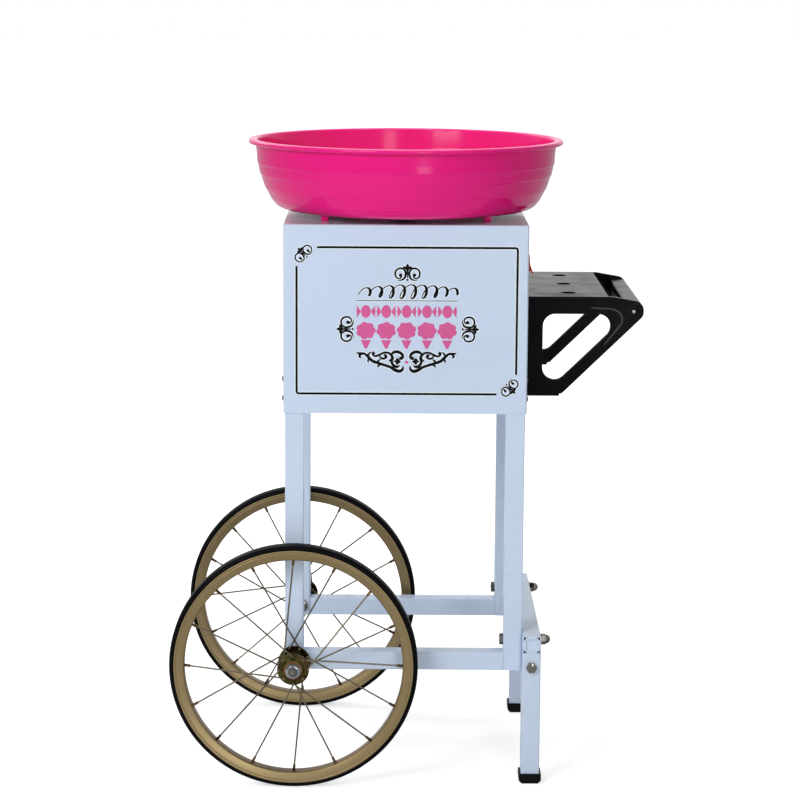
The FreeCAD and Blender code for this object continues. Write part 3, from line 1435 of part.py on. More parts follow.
def bowl_section():
    wall = d.bowl_wall
    lip_low = d.bowl_depth - d.bowl_lip_height
    inner_rim = rim - d.bowl_lip_width
    outside = [
        (d.bowl_mouth_radius, d.bowl_cone_rise),
        (rim - d.bowl_cone_inset, as_size(0)),
        (bowl_floor_radius, as_size(0)),
        (rim - d.bowl_low_wall_inset, d.bowl_low_wall_rise),
        (rim - d.bowl_high_wall_inset, d.bowl_high_wall_rise),
        (inner_rim + wall, lip_low),
    ]
    rounds = [None, wall * 4, d.bowl_floor_round, d.bowl_wall_round, d.bowl_wall_round, None]
    inside = [inset_corner(*outside[i - 1:i + 2], wall) for i in range(1, 5)]
    shrink = [wall, -wall, -wall, -wall]
    section = [outside[0]] + [corner + (rounds[i],) for i, corner in enumerate(outside) if rounds[i]]
    section.append(outside[5])
    section += [(rim, lip_low, d.bowl_lip_round), (rim, d.bowl_depth, d.bowl_lip_round),
                (inner_rim, d.bowl_depth, d.bowl_lip_round)]
    section += [inside[i] + (rounds[i + 1] + shrink[i],) for i in (3, 2, 1, 0)]
    collar_top = d.bowl_cone_rise + d.bowl_collar_height
    foot = (d.bowl_mouth_radius + wall, d.bowl_cone_rise + wall)
    section += [foot, (d.bowl_mouth_radius + wall, collar_top), (d.bowl_mouth_radius, collar_top)]
    return section


def bowl():
    base = deck_top + d.bowl_foot_height
    part = body("bowl", (0, 0, base))
    revolve(part, "bowl_moulded", sketch_on(part, "XZ_Plane", "bowl_profile", [bowl_section()]))
    half = d.bowl_foot_across / 2
    squares = [
        rectangle(x - half, x + half, y - half, y + half)
        for x in (-bowl_foot_x, bowl_foot_x) for y in (-bowl_foot_y, bowl_foot_y)
    ]
    feet = sketch_on(part, "XY_Plane", "bowl_feet_plan", squares, offset=d.bowl_wall / 2)
    pad(part, "bowl_feet", feet, d.bowl_foot_height + d.bowl_wall / 2 - d.bowl_seat_play, backwards=True)
    node(part, "bowl")


# ---- the whole cart ----

for name_x, side_x in (("left", -1), ("right", 1)):
    for name_y, side_y in (("front", front), ("rear", rear)):
        leg(f"{name_x}_{name_y}_leg", side_x, side_y)
node(group("stretchers", [stretcher(front), stretcher(rear)]), "stretchers")
crossbar()
node(group("crossbar_end_plugs", [end_plug(front), end_plug(rear)]), "crossbar_end_plugs")
node(group("foot_legs", [foot_leg(front), foot_leg(rear)]), "foot_legs")
node(group("foot_caps", [foot_cap(front), foot_cap(rear)]), "foot_caps")
node(group("stand_bolts", crossbar_fixings() + foot_fixings()), "stand_bolts")
axle_group("axle_bolts", axle_bolt)
axle_group("axle_spacers", axle_spacer)
axle_group("axle_washers", axle_washer)
axle_group("axle_nuts", axle_nut)
wheel("front_wheel", front)
wheel("rear_wheel", rear)
cabinet_shell()
cabinet_top()
cabinet_back_panel()
cabinet_floor()
cabinet_screws()
cord_gland()
terminal_block()
switch_housing()
switch_rocker()
shelf_deck()
shelf_bracket("front_shelf_bracket", front)
shelf_bracket("rear_shelf_bracket", rear)
handle_grip()
shelf_screws()
motor_mounting()
motor_housing()
motor_inside()
motor_collar()
heater()
spinner()
bowl()

doc.recompute()
faults = []
for item in doc.Objects:
    if "Invalid" in item.State or "Error" in item.State:
        faults.append(f"{item.Name}: {item.State}")
for item in nodes:
    if item.Shape.isNull() or not item.Shape.isValid() or not item.Shape.Solids:
        faults.append(f"{item.Label}: no valid solid")
if faults:
    raise RuntimeError("; ".join(faults))

os.makedirs("parts", exist_ok=True)
for item in nodes:
    item.Shape.exportStep(os.path.join("parts", f"{item.Label}.step"))
print(len(nodes), "nodes,", sum(len(item.Shape.Solids) for item in nodes), "solids")
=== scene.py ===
import bpy
import bmesh
import json
import math
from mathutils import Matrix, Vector


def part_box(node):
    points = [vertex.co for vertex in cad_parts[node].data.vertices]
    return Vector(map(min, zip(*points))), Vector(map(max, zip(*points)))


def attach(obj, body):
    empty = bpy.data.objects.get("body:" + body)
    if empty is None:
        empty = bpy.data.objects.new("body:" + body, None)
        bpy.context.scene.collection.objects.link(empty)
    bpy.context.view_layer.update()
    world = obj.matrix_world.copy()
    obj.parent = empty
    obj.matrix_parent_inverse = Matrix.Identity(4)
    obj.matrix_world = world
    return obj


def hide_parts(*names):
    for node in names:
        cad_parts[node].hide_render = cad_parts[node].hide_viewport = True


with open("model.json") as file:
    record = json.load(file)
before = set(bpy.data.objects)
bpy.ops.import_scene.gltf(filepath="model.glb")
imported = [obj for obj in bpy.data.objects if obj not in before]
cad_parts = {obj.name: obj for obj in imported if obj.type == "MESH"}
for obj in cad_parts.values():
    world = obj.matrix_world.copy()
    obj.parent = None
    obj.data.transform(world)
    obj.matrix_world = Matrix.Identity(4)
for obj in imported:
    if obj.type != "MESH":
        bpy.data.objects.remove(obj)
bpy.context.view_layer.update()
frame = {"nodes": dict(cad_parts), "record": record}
nodes = frame["nodes"]
mm = 0.001
fullTurn = 2 * math.pi
print("frame loaded:", len(nodes), "nodes")


# handling: selecting, editing and settling a piece

def restMode():
    if bpy.context.object and bpy.context.object.mode != "OBJECT":
        bpy.ops.object.mode_set(mode="OBJECT")
    bpy.ops.object.select_all(action="DESELECT")


def pick(piece, *others):
    restMode()
    for item in (piece,) + others:
        item.select_set(True)
    bpy.context.view_layer.objects.active = piece


def choose(piece, kind, test):
    mesh = bmesh.from_edit_mesh(piece.data)
    for part in {"VERT": mesh.verts, "EDGE": mesh.edges, "FACE": mesh.faces}[kind]:
        part.select_set(bool(test(part)))
    bmesh.update_edit_mesh(piece.data)


def edit(piece, kind="FACE", test=None):
    # edit mode with nothing selected, or only the parts that pass the test
    pick(piece)
    bpy.ops.object.mode_set(mode="EDIT")
    bpy.ops.mesh.select_mode(type=kind)
    bpy.ops.mesh.select_all(action="DESELECT")
    if test:
        choose(piece, kind, test)


def weld(reach=0.001):
    # joins points that lie together, turns all faces outwards and leaves edit mode
    bpy.ops.mesh.select_all(action="SELECT")
    bpy.ops.mesh.remove_doubles(threshold=reach * mm)
    bpy.ops.mesh.normals_make_consistent(inside=False)
    restMode()


def bevel(width, segments=3, clamp=False):
    bpy.ops.mesh.bevel(offset=width * mm, segments=segments, profile=0.5, affect="EDGES", clamp_overlap=clamp)


def applyModifiers(piece):
    pick(piece)
    for modifier in list(piece.modifiers):
        bpy.ops.object.modifier_apply(modifier=modifier.name)


def settle(piece, place=(0, 0, 0), turn=(0, 0, 0)):
    pick(piece)
    piece.rotation_euler = turn
    piece.location = place
    bpy.ops.object.transform_apply(location=True, rotation=True, scale=True)


def joined(name, pieces):
    pick(*pieces)
    if len(pieces) > 1:
        bpy.ops.object.join()
    whole = bpy.context.object
    whole.name = whole.data.name = name
    return whole


def smooth(piece, degrees=35, weighted=False):
    pick(piece)
    bpy.ops.object.shade_smooth_by_angle(angle=math.radians(degrees))
    if weighted:
        modifier = piece.modifiers.new("evenNormals", "WEIGHTED_NORMAL")
        modifier.keep_sharp = True
        applyModifiers(piece)


def addObject(name, data):
    item = bpy.data.objects.new(name, data)
    bpy.context.scene.collection.objects.link(item)
    return item


def copyAt(piece, name, place=(0, 0, 0), turn=(0, 0, 0)):
    twin = addObject(name, piece.data.copy())
    settle(twin, place, turn)
    return twin


def discard(piece):
    bpy.data.objects.remove(piece)


def carve(piece, cutter, way="DIFFERENCE"):
    modifier = piece.modifiers.new("carve", "BOOLEAN")
    modifier.operation = way
    modifier.solver = "EXACT"
    modifier.object = cutter
    applyModifiers(piece)
    discard(cutter)


def fixed(name):
    # names the piece just made and applies its place and size
    piece = bpy.context.object
    piece.name = name
    bpy.ops.object.transform_apply(location=True, rotation=True, scale=True)
    return piece


def block(name, low, high):
    restMode()
    bpy.ops.mesh.primitive_cube_add(size=1, location=[(a + b) / 2 * mm for a, b in zip(low, high)])
    bpy.context.object.scale = [(b - a) * mm for a, b in zip(low, high)]
    return fixed(name)


def drum(name, radius, low, high, sides):
    restMode()
    bpy.ops.mesh.primitive_cylinder_add(vertices=sides, radius=radius * mm, depth=(high - low) * mm,
                                        location=(0, 0, (low + high) / 2 * mm))
    return fixed(name)


def softenEdges(piece, width, segments=3):
    sharp = 0.5
    edit(piece, "EDGE", lambda edge: edge.is_manifold and edge.calc_face_angle(0) > sharp)
    bevel(width, segments, clamp=True)
    restMode()


def roundCorners(corners, parts=6, closed=True):
    # each corner is (across, along) or (across, along, radius)
    points = []
    count = len(corners)
    for i, corner in enumerate(corners):
        here = Vector(corner[:2])
        radius = corner[2] if len(corner) > 2 else 0
        if not radius or (not closed and i in (0, count - 1)):
            points.append(here)
            continue
        back = (Vector(corners[i - 1][:2]) - here).normalized()
        ahead = (Vector(corners[(i + 1) % count][:2]) - here).normalized()
        half = back.angle(ahead) / 2
        reach = radius / math.tan(half)
        middle = here + (back + ahead).normalized() * (radius / math.sin(half))
        start, end = here + back * reach - middle, here + ahead * reach - middle
        sweep = start.angle_signed(end)
        for step in range(parts + 1):
            angle = -sweep * step / parts
            points.append(middle + Vector((start.x * math.cos(angle) - start.y * math.sin(angle),
                                           start.x * math.sin(angle) + start.y * math.cos(angle))))
    return points


def mirrored(corners):
    # the same corners on the other side of the middle
    return [(corner[0], -corner[1]) + tuple(corner[2:]) for corner in reversed(corners)]


def turned(name, points, steps=96, closed=True):
    # a wire of points drawn by extruding one vertex, then spun round the Z axis
    restMode()
    bpy.ops.mesh.primitive_plane_add(size=0.01, location=(0, 0, 0))
    piece = bpy.context.object
    piece.name = name
    bpy.ops.object.mode_set(mode="EDIT")
    bpy.ops.mesh.select_mode(type="VERT")
    bpy.ops.mesh.select_all(action="SELECT")
    bpy.ops.mesh.merge(type="CENTER")
    path = [Vector(point) for point in points]
    if closed:
        path.append(path[0])
    bpy.ops.transform.translate(value=(path[0].x * mm, 0, path[0].y * mm))
    for before, here in zip(path, path[1:]):
        step = (here - before) * mm
        bpy.ops.mesh.extrude_vertices_move(TRANSFORM_OT_translate={"value": (step.x, 0, step.y)})
    bpy.ops.mesh.select_all(action="SELECT")
    bpy.ops.mesh.spin(steps=steps, angle=fullTurn, center=(0, 0, 0), axis=(0, 0, 1))
    weld(0.002)
    return piece


def wireAlong(name, kind, points, thick, rounds, widths=None):
    # a round wire along the points, each width a factor on its thickness
    data = bpy.data.curves.new(name, "CURVE")
    data.dimensions = "3D"
    data.bevel_depth = thick * mm
    data.bevel_resolution = rounds
    data.use_fill_caps = True
    data.resolution_u = 8
    spline = data.splines.new(kind)
    spline.points.add(len(points) - 1)
    for knot, point, width in zip(spline.points, points, widths or [1] * len(points)):
        knot.co = [part * mm for part in point] + [1]
        knot.radius = width
    if kind == "NURBS":
        spline.order_u = 3
        spline.use_endpoint_u = True
    pick(addObject(name, data))
    bpy.ops.object.convert(target="MESH")
    return bpy.context.object


# node groups shared by the finishes

def feed(tree, node, sources):
    # fills the node's inputs, each with another node's socket or a plain value
    for title, source in sources.items():
        if hasattr(source, "is_output"):
            tree.links.new(source, node.inputs[title])
        else:
            node.inputs[title].default_value = source


def addNode(tree, kind, sources=None, **values):
    node = tree.nodes.new("ShaderNode" + kind)
    for key, value in values.items():
        setattr(node, key, value)
    feed(tree, node, sources or {})
    return node


def objectPlace(tree):
    return addNode(tree, "TexCoord").outputs["Object"]


def noise(tree, vector, scale, detail, rough=0.55):
    sources = {"Vector": vector, "Scale": scale, "Detail": detail, "Roughness": rough}
    return addNode(tree, "TexNoise", sources).outputs["Fac"]


def spread(tree, value, low, high, toLow=0.0, toHigh=1.0):
    sources = {"Value": value, "From Min": low, "From Max": high, "To Min": toLow, "To Max": toHigh}
    return addNode(tree, "MapRange", sources).outputs["Result"]


def sums(tree, way, first, second):
    return addNode(tree, "Math", {0: first, 1: second}, operation=way).outputs[0]


def plus(tree, first, second):
    return sums(tree, "ADD", first, second)


def times(tree, first, second):
    return sums(tree, "MULTIPLY", first, second)


def blendColours(tree, mask, first, second):
    return addNode(tree, "Mix", {0: mask, 6: first, 7: second}, data_type="RGBA").outputs[2]


def retinted(tree, colour, **shifts):
    return addNode(tree, "HueSaturation", {"Color": colour, **shifts}).outputs["Color"]


def bumped(tree, given, height):
    sources = {"Strength": given["Strength"], "Distance": given["Height"], "Height": height}
    return addNode(tree, "Bump", sources).outputs["Normal"]


def axisRadius(tree, vector):
    # how far the vector that comes in lies from the Z axis
    flat = addNode(tree, "VectorMath", {0: vector, 1: (1, 1, 0)}, operation="MULTIPLY").outputs["Vector"]
    return addNode(tree, "VectorMath", {0: flat}, operation="LENGTH").outputs["Value"]


def patchyColour(tree, given):
    # a wide cloud with a finer one in it, between a darker and a lighter tint
    cloud = dict(wideDetail=5, fineDetail=3, finer=14, wideShare=0.7, fineShare=0.3, low=0.38, high=0.62, lift=0.4)
    place = objectPlace(tree)
    wide = noise(tree, place, given["Scale"], cloud["wideDetail"])
    fine = noise(tree, place, times(tree, given["Scale"], cloud["finer"]), cloud["fineDetail"])
    mixed = plus(tree, times(tree, wide, cloud["wideShare"]), times(tree, fine, cloud["fineShare"]))
    darker = retinted(tree, given["Colour"], Value=sums(tree, "SUBTRACT", 1, given["Depth"]))
    lighter = retinted(tree, given["Colour"], Value=plus(tree, 1, times(tree, given["Depth"], cloud["lift"])))
    return {"Colour": blendColours(tree, spread(tree, mixed, cloud["low"], cloud["high"]), darker, lighter)}


def patchyGloss(tree, given):
    cloud = dict(detail=6, rough=0.62, low=0.36, high=0.66)
    value = noise(tree, objectPlace(tree), given["Scale"], cloud["detail"], cloud["rough"])
    return {"Roughness": spread(tree, value, cloud["low"], cloud["high"], given["Smooth"], given["Rough"])}


def fineGrain(tree, given):
    detail = 2.5
    return {"Normal": bumped(tree, given, noise(tree, objectPlace(tree), given["Scale"], detail))}


def latheRings(tree, given):
    # fine rings round the Z axis of the vector that comes in
    ring = dict(detail=3, low=0.35, high=0.65)
    level = addNode(tree, "SeparateXYZ", {"Vector": given["Vector"]}).outputs["Z"]
    along = addNode(tree, "CombineXYZ", {"X": axisRadius(tree, given["Vector"]), "Y": level}).outputs["Vector"]
    value = noise(tree, along, given["Scale"], ring["detail"])
    return {"Mask": spread(tree, value, ring["low"], ring["high"]), "Normal": bumped(tree, given, value)}


def settledDust(tree, given):
    # more on faces that look up, broken by noise
    dust = dict(detail=8, rough=0.7, low=0.45, high=0.75, facing=-0.3, least=0.25)
    value = noise(tree, objectPlace(tree), given["Scale"], dust["detail"], dust["rough"])
    normal = addNode(tree, "NewGeometry").outputs["Normal"]
    facing = addNode(tree, "SeparateXYZ", {"Vector": normal}).outputs["Z"]
    upward = spread(tree, facing, dust["facing"], 1, dust["least"], 1)
    specks = spread(tree, value, dust["low"], dust["high"])
    return {"Mask": times(tree, times(tree, specks, upward), given["Amount"])}


def hairlines(tree, given):
    # thin scuffs in two directions
    line = dict(detail=2, low=0.66, high=0.74,
                runs=(((0.3, 0.5, 0.2), (9, 9, 420)), ((1.1, -0.4, 0.9), (12, 360, 12))))
    masks = []
    for turn, stretch in line["runs"]:
        mapping = addNode(tree, "Mapping", {"Vector": objectPlace(tree), "Rotation": turn, "Scale": stretch})
        value = noise(tree, mapping.outputs["Vector"], given["Scale"], line["detail"])
        masks.append(spread(tree, value, line["low"], line["high"]))
    return {"Mask": times(tree, sums(tree, "MAXIMUM", *masks), given["Amount"])}


def makeGroup(build, inputs, outputs):
    # sockets carry single values, apart from those named here
    kinds = {"Colour": "Color", "Vector": "Vector", "Normal": "Vector"}
    group = bpy.data.node_groups.new(build.__name__, "ShaderNodeTree")
    for way, titles in (("INPUT", inputs), ("OUTPUT", outputs)):
        for title in titles:
            kind = "NodeSocket" + kinds.get(title, "Float")
            group.interface.new_socket(name=title, in_out=way, socket_type=kind)
    given = group.nodes.new("NodeGroupInput").outputs
    feed(group, group.nodes.new("NodeGroupOutput"), build(group, given))
    return group


shaderGroups = {build: makeGroup(build, inputs, outputs) for build, inputs, outputs in (
    (patchyColour, ("Colour", "Depth", "Scale"), ("Colour",)),
    (patchyGloss, ("Smooth", "Rough", "Scale"), ("Roughness",)),
    (fineGrain, ("Scale", "Strength", "Height"), ("Normal",)),
    (latheRings, ("Vector", "Scale", "Strength", "Height"), ("Mask", "Normal")),
    (settledDust, ("Amount", "Scale"), ("Mask",)),
    (hairlines, ("Amount", "Scale"), ("Mask",)))}


def placeGroup(tree, build, **sources):
    return addNode(tree, "Group", sources, node_tree=shaderGroups[build]).outputs


plainLook = dict(metal=0, coat=0, coatRough=0.08, specular=0.5, cloud=30, grain=None, rings=None,
                 ringStrength=0.3, ringHeight=0.03, ringCentre=(0, 0, 0), ringTurn=(0, 0, 0), scuffs=0,
                 scuffScale=1, dust=0, dustScale=70, dustColour=(0.42, 0.4, 0.37, 1))


def makeFinish(name, look):
    # a Principled surface with patchy colour and gloss and a fine bump
    look = {**plainLook, **look}
    rougher = dict(dust=0.9, scuffs=0.25, rings=0.1)
    material = bpy.data.materials.new(name)
    material.use_nodes = True
    tree = material.node_tree
    colour = placeGroup(tree, patchyColour, Colour=look["colour"] + (1,), Depth=look["depth"],
                        Scale=look["patch"])["Colour"]
    roughness = placeGroup(tree, patchyGloss, Smooth=look["gloss"][0], Rough=look["gloss"][1],
                           Scale=look["cloud"])["Roughness"]
    if look["dust"]:
        dust = placeGroup(tree, settledDust, Amount=look["dust"], Scale=look["dustScale"])["Mask"]
        colour = blendColours(tree, dust, colour, look["dustColour"])
        roughness = sums(tree, "MAXIMUM", roughness, times(tree, dust, rougher["dust"]))
    if look["scuffs"]:
        lines = placeGroup(tree, hairlines, Amount=look["scuffs"], Scale=look["scuffScale"])["Mask"]
        roughness = plus(tree, roughness, times(tree, lines, rougher["scuffs"]))
    if look["rings"]:
        centred = addNode(tree, "Mapping", {"Vector": objectPlace(tree), "Location": look["ringCentre"],
                                            "Rotation": look["ringTurn"]}, vector_type="POINT").outputs["Vector"]
        relief = placeGroup(tree, latheRings, Vector=centred, Scale=look["rings"], Strength=look["ringStrength"],
                            Height=look["ringHeight"] * mm)
        roughness = plus(tree, roughness, times(tree, relief["Mask"], rougher["rings"]))
    else:
        scale, strength, height = look["grain"]
        relief = placeGroup(tree, fineGrain, Scale=scale, Strength=strength, Height=height * mm)
    feed(tree, tree.nodes["Principled BSDF"], {
        "Metallic": look["metal"], "Coat Weight": look["coat"], "Coat Roughness": look["coatRough"],
        "Specular IOR Level": look["specular"], "Base Color": colour, "Roughness": roughness,
        "Normal": relief["Normal"]})
    return material


looks = {
    "cabinetPaint": dict(colour=(0.6, 0.715, 0.893), depth=0.02, patch=5, gloss=(0.1, 0.16), coat=0.2,
                         specular=0.4, grain=(520, 0.08, 0.03), scuffs=0.15),
    "standPaint": dict(colour=(0.6, 0.715, 0.88), depth=0.025, patch=9, gloss=(0.2, 0.28), coat=0.1,
                       specular=0.35, grain=(700, 0.1, 0.03), scuffs=0.06),
    # the cabinet's paint made darker and pinker: painted shade under the bowl and a painted pink reflection of it
    "deckPaint": dict(colour=(0.52, 0.55, 0.67), depth=0.02, patch=5, gloss=(0.14, 0.2), coat=0.25,
                      coatRough=0.1, specular=0.4, grain=(90, 0.02, 0.01)),
    "bowlPlastic": dict(colour=(0.82, 0.009, 0.22), depth=0.03, patch=7, gloss=(0.07, 0.12), specular=0.17,
                        rings=420, ringStrength=0.16, ringHeight=0.05, scuffs=0.3, scuffScale=0.7),
    "tyreRubber": dict(colour=(0.004, 0.004, 0.005), depth=0.2, patch=30, gloss=(0.36, 0.52), specular=0.025,
                       grain=(1500, 0.35, 0.06)),
    "spokeSteel": dict(colour=(0.12, 0.102, 0.066), metal=0.9, depth=0.35, patch=45, gloss=(0.2, 0.36),
                       specular=0.3, grain=(1800, 0.2, 0.03)),
    "nippleBrass": dict(colour=(0.1, 0.058, 0.024), metal=0.9, depth=0.5, patch=260, gloss=(0.25, 0.4),
                        specular=0.3, grain=(1800, 0.2, 0.03)),
    "axleNickel": dict(colour=(0.23, 0.25, 0.27), metal=1, depth=0.35, patch=60, gloss=(0.08, 0.16),
                       grain=(1600, 0.15, 0.02), scuffs=0.4, scuffScale=4),
    "bushPlastic": dict(colour=(0.2, 0.085, 0.03), depth=0.25, patch=60, gloss=(0.4, 0.55), specular=0.25,
                        grain=(1500, 0.2, 0.04), dust=0.6, dustScale=160,
                        dustColour=(0.26, 0.10, 0.03, 1)),
    "boltNickel": dict(colour=(0.15, 0.143, 0.13), metal=1, depth=0.4, patch=60, gloss=(0.07, 0.14),
                       grain=(1600, 0.15, 0.02), scuffs=0.4, scuffScale=4),
    "capPlastic": dict(colour=(0.005, 0.005, 0.006), depth=0.15, patch=40, gloss=(0.36, 0.5), specular=0.06,
                       grain=(1300, 0.3, 0.05), dust=0.01),
    "shelfPlastic": dict(colour=(0.0015, 0.0018, 0.0026), depth=0.12, patch=18, gloss=(0.16, 0.26), specular=0.03,
                         grain=(1100, 0.12, 0.04), dust=0.003, dustScale=120, scuffs=0.3),
    "switchBlack": dict(colour=(0.006, 0.006, 0.007), depth=0.12, patch=50, gloss=(0.35, 0.48), specular=0.08,
                        grain=(1500, 0.22, 0.03)),
    "switchRed": dict(colour=(0.66, 0.003, 0.005), depth=0.06, patch=50, gloss=(0.14, 0.24), specular=0.14,
                      grain=(1500, 0.08, 0.02)),
    "glandPlastic": dict(colour=(0.012, 0.012, 0.013), depth=0.12, patch=60, gloss=(0.4, 0.55), specular=0.25,
                         grain=(1400, 0.25, 0.04)),
    "terminalPlastic": dict(colour=(0.72, 0.71, 0.66), depth=0.06, patch=40, gloss=(0.4, 0.55),
                            grain=(1400, 0.2, 0.03)),
    "zincSteel": dict(colour=(0.52, 0.53, 0.55), metal=1, depth=0.2, patch=35, gloss=(0.3, 0.45),
                      grain=(1100, 0.25, 0.03), scuffs=0.4),
    "motorPaint": dict(colour=(0.03, 0.03, 0.035), depth=0.15, patch=25, gloss=(0.35, 0.5), specular=0.3,
                       grain=(900, 0.3, 0.05), dust=0.05),
    "bearingBronze": dict(colour=(0.45, 0.29, 0.14), metal=1, depth=0.2, patch=60, gloss=(0.3, 0.45),
                          grain=(1800, 0.3, 0.03)),
    "ribBlack": dict(colour=(0.008, 0.009, 0.011), depth=0.1, patch=18, gloss=(0.14, 0.22), specular=0.14,
                     grain=(1100, 0.1, 0.03)),
    "collarBlack": dict(colour=(0.01, 0.01, 0.011), depth=0.12, patch=40, gloss=(0.3, 0.45), specular=0.25,
                        grain=(1300, 0.22, 0.04)),
    "spunAluminium": dict(colour=(0.34, 0.347, 0.36), metal=1, depth=0.1, patch=20, gloss=(0.27, 0.38),
                          rings=1400, ringStrength=0.35, ringHeight=0.03, scuffs=0.4),
    "elementSteel": dict(colour=(0.11, 0.085, 0.075), metal=0.7, depth=0.4, patch=60, gloss=(0.42, 0.62),
                         grain=(1200, 0.4, 0.05)),
    "holderCeramic": dict(colour=(0.82, 0.79, 0.71), depth=0.08, patch=60, gloss=(0.45, 0.6),
                          grain=(1500, 0.35, 0.04)),
    "inkBlack": dict(colour=(0.003, 0.003, 0.004), depth=0.2, patch=60, gloss=(0.3, 0.42), specular=0.06,
                     grain=(1300, 0.12, 0.01)),
    "inkPink": dict(colour=(0.69, 0.12, 0.33), depth=0.05, patch=60, gloss=(0.3, 0.4), specular=0.12,
                    grain=(1300, 0.12, 0.01)),
    "inkWhite": dict(colour=(0.8, 0.87, 0.94), depth=0.03, patch=60, gloss=(0.3, 0.4), specular=0.3,
                     grain=(1300, 0.12, 0.01)),
    # champagne lacquer over metal
    "rimPaint": dict(colour=(0.215, 0.163, 0.083), metal=0.94, depth=0.06, patch=8, gloss=(0.3, 0.36),
                     specular=0.3, rings=900, ringStrength=0.05, ringHeight=0.02,
                     ringTurn=(math.pi / 2, 0, 0), ringCentre=(0.1475, 0.1668, 0)),
    # olive yellow zinc with brown dust round the axle
    "hubPlating": dict(colour=(0.06, 0.046, 0.014), metal=0.95, depth=0.75, patch=60, gloss=(0.12, 0.24),
                       grain=(1400, 0.2, 0.03), dust=0.12, dustScale=200, dustColour=(0.16, 0.07, 0.025, 1)),
}
finishes = {name: makeFinish(name, look) for name, look in looks.items()}


def paintedShadeInside(tree, colour):
    # painted shade: browner towards the hub side of the hoop, where its inner shoulder faces away from the light
    shadeBand = dict(inner=0.1468, outer=0.1482, colour=(0.13, 0.085, 0.036, 1))
    centred = next(node for node in tree.nodes if node.type == "MAPPING").outputs["Vector"]
    mask = spread(tree, axisRadius(tree, centred), shadeBand["inner"], shadeBand["outer"], 1.0, 0.0)
    return blendColours(tree, mask, colour, shadeBand["colour"])


def driftingHue(tree, colour):
    drift = dict(scale=70.0, detail=3, low=0.35, high=0.65, hues=(0.44, 0.56))
    cloud = noise(tree, objectPlace(tree), drift["scale"], drift["detail"])
    return retinted(tree, colour, Hue=spread(tree, cloud, drift["low"], drift["high"], *drift["hues"]))


def recolour(material, change):
    # passes the base colour through one more change
    tree = material.node_tree
    shader = tree.nodes["Principled BSDF"]
    feed(tree, shader, {"Base Color": change(tree, shader.inputs["Base Color"].links[0].from_socket)})


# the hoop gets painted shade on its hub side
recolour(finishes["rimPaint"], paintedShadeInside)
recolour(finishes["hubPlating"], driftingHue)
slotOfNode = {row["node"]: row["material_slot"] for row in frame["record"]["subparts"]}
bodyOfNode = {node: body for body, members in frame["record"]["behaviour"]["bodies"].items() for node in members}


def wear(piece, node, finishName=None):
    # the node's slot, such as tyre_rubber, names its plain finish, tyreRubber
    first, second = slotOfNode[node].split("_")
    piece.data.materials.clear()
    piece.data.materials.append(finishes[finishName or first + second.title()])


for name, node in nodes.items():
    wear(node, name)
print("finishes made:", len(finishes))


def finish(piece, node, finishName=None, replaced=True):
    # gives the piece its finish and hangs it on the node's body
    wear(piece, node, finishName)
    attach(piece, bodyOfNode[node])
    if replaced:
        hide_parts(node)


def dressed(node, soft=None, width=0.8, segments=3, angle=35, look=None):
    # a welded copy of the node, its edges softened where soft says so
    join = dict(reach=0.000005, flat=math.radians(0.6), sharp=0.6)
    piece = addObject(node + "_dressed", nodes[node].data.copy())
    edit(piece, "VERT")
    bpy.ops.mesh.select_all(action="SELECT")
    bpy.ops.mesh.remove_doubles(threshold=join["reach"])
    bpy.ops.mesh.dissolve_limited(angle_limit=join["flat"], delimit=set())
    if soft:
        bpy.ops.mesh.select_mode(type="EDGE")
        low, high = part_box(node)
        choose(piece, "EDGE", lambda edge: edge.is_manifold and edge.calc_face_angle(0) > join["sharp"]
               and soft(edge, low, high))
        bevel(width, segments)
    restMode()
    smooth(piece, angle, weighted=True)
    finish(piece, node, look)


def span(edge):
    return (edge.verts[0].co - edge.verts[1].co).length


def middleOf(edge):
    return (edge.verts[0].co + edge.verts[1].co) / 2


# camera, lamps, floor and surroundings

def makeCamera():
    view = dict(place=(-0.0242, -3.4487, 1.105), turn=(79.9938, -0.3594, -0.2386), lens=113.14, sensor=36)
    data = bpy.data.cameras.new("viewCamera")
    data.lens = view["lens"]
    data.sensor_width = view["sensor"]
    camera = addObject("viewCamera", data)
    camera.location = view["place"]
    camera.rotation_euler = [math.radians(a) for a in view["turn"]]
    bpy.context.scene.camera = camera


def makeLamps():
    aim = Vector((0, 0, 0.5))
    lamps = {
        "keyBox": dict(place=(-1.3, -1.85, 1.65), size=(1.0, 1.0), power=26.5),
        "tallStrip": dict(place=(0.68, -2.95, 1.1), size=(0.5, 2.1), power=20),
        "topBox": dict(place=(-0.1, 0.2, 2.6), size=(1.4, 1.4), power=27),
        "backBox": dict(place=(-1.6, 1.9, 2.2), size=(1.2, 1.2), power=14),
    }
    for name, lamp in lamps.items():
        data = bpy.data.lights.new(name, "AREA")
        data.shape = "RECTANGLE"
        data.size, data.size_y = lamp["size"]
        data.energy = lamp["power"]
        item = addObject(name, data)
        item.location = lamp["place"]
        item.rotation_euler = (aim - item.location).to_track_quat("-Z", "Y").to_euler()


def seenRays(tree, share=1.0):
    # 1 for rays seen straight or through glass, the given share for mirrored ones
    path = addNode(tree, "LightPath").outputs
    straight = sums(tree, "MAXIMUM", path["Is Camera Ray"], path["Is Transmission Ray"])
    return sums(tree, "MAXIMUM", straight, times(tree, path["Is Glossy Ray"], share))


def makeSurroundings():
    glow = dict(white=1.0, soft=0.18)
    world = bpy.context.scene.world or bpy.data.worlds.new("whiteRoom")
    bpy.context.scene.world = world
    world.use_nodes = True
    tree = world.node_tree
    tree.nodes.clear()
    strength = spread(tree, seenRays(tree), 0.0, 1.0, glow["soft"], glow["white"])
    backdrop = addNode(tree, "Background", {"Color": (1, 1, 1, 1), "Strength": strength})
    addNode(tree, "OutputWorld", {"Surface": backdrop.outputs[0]})


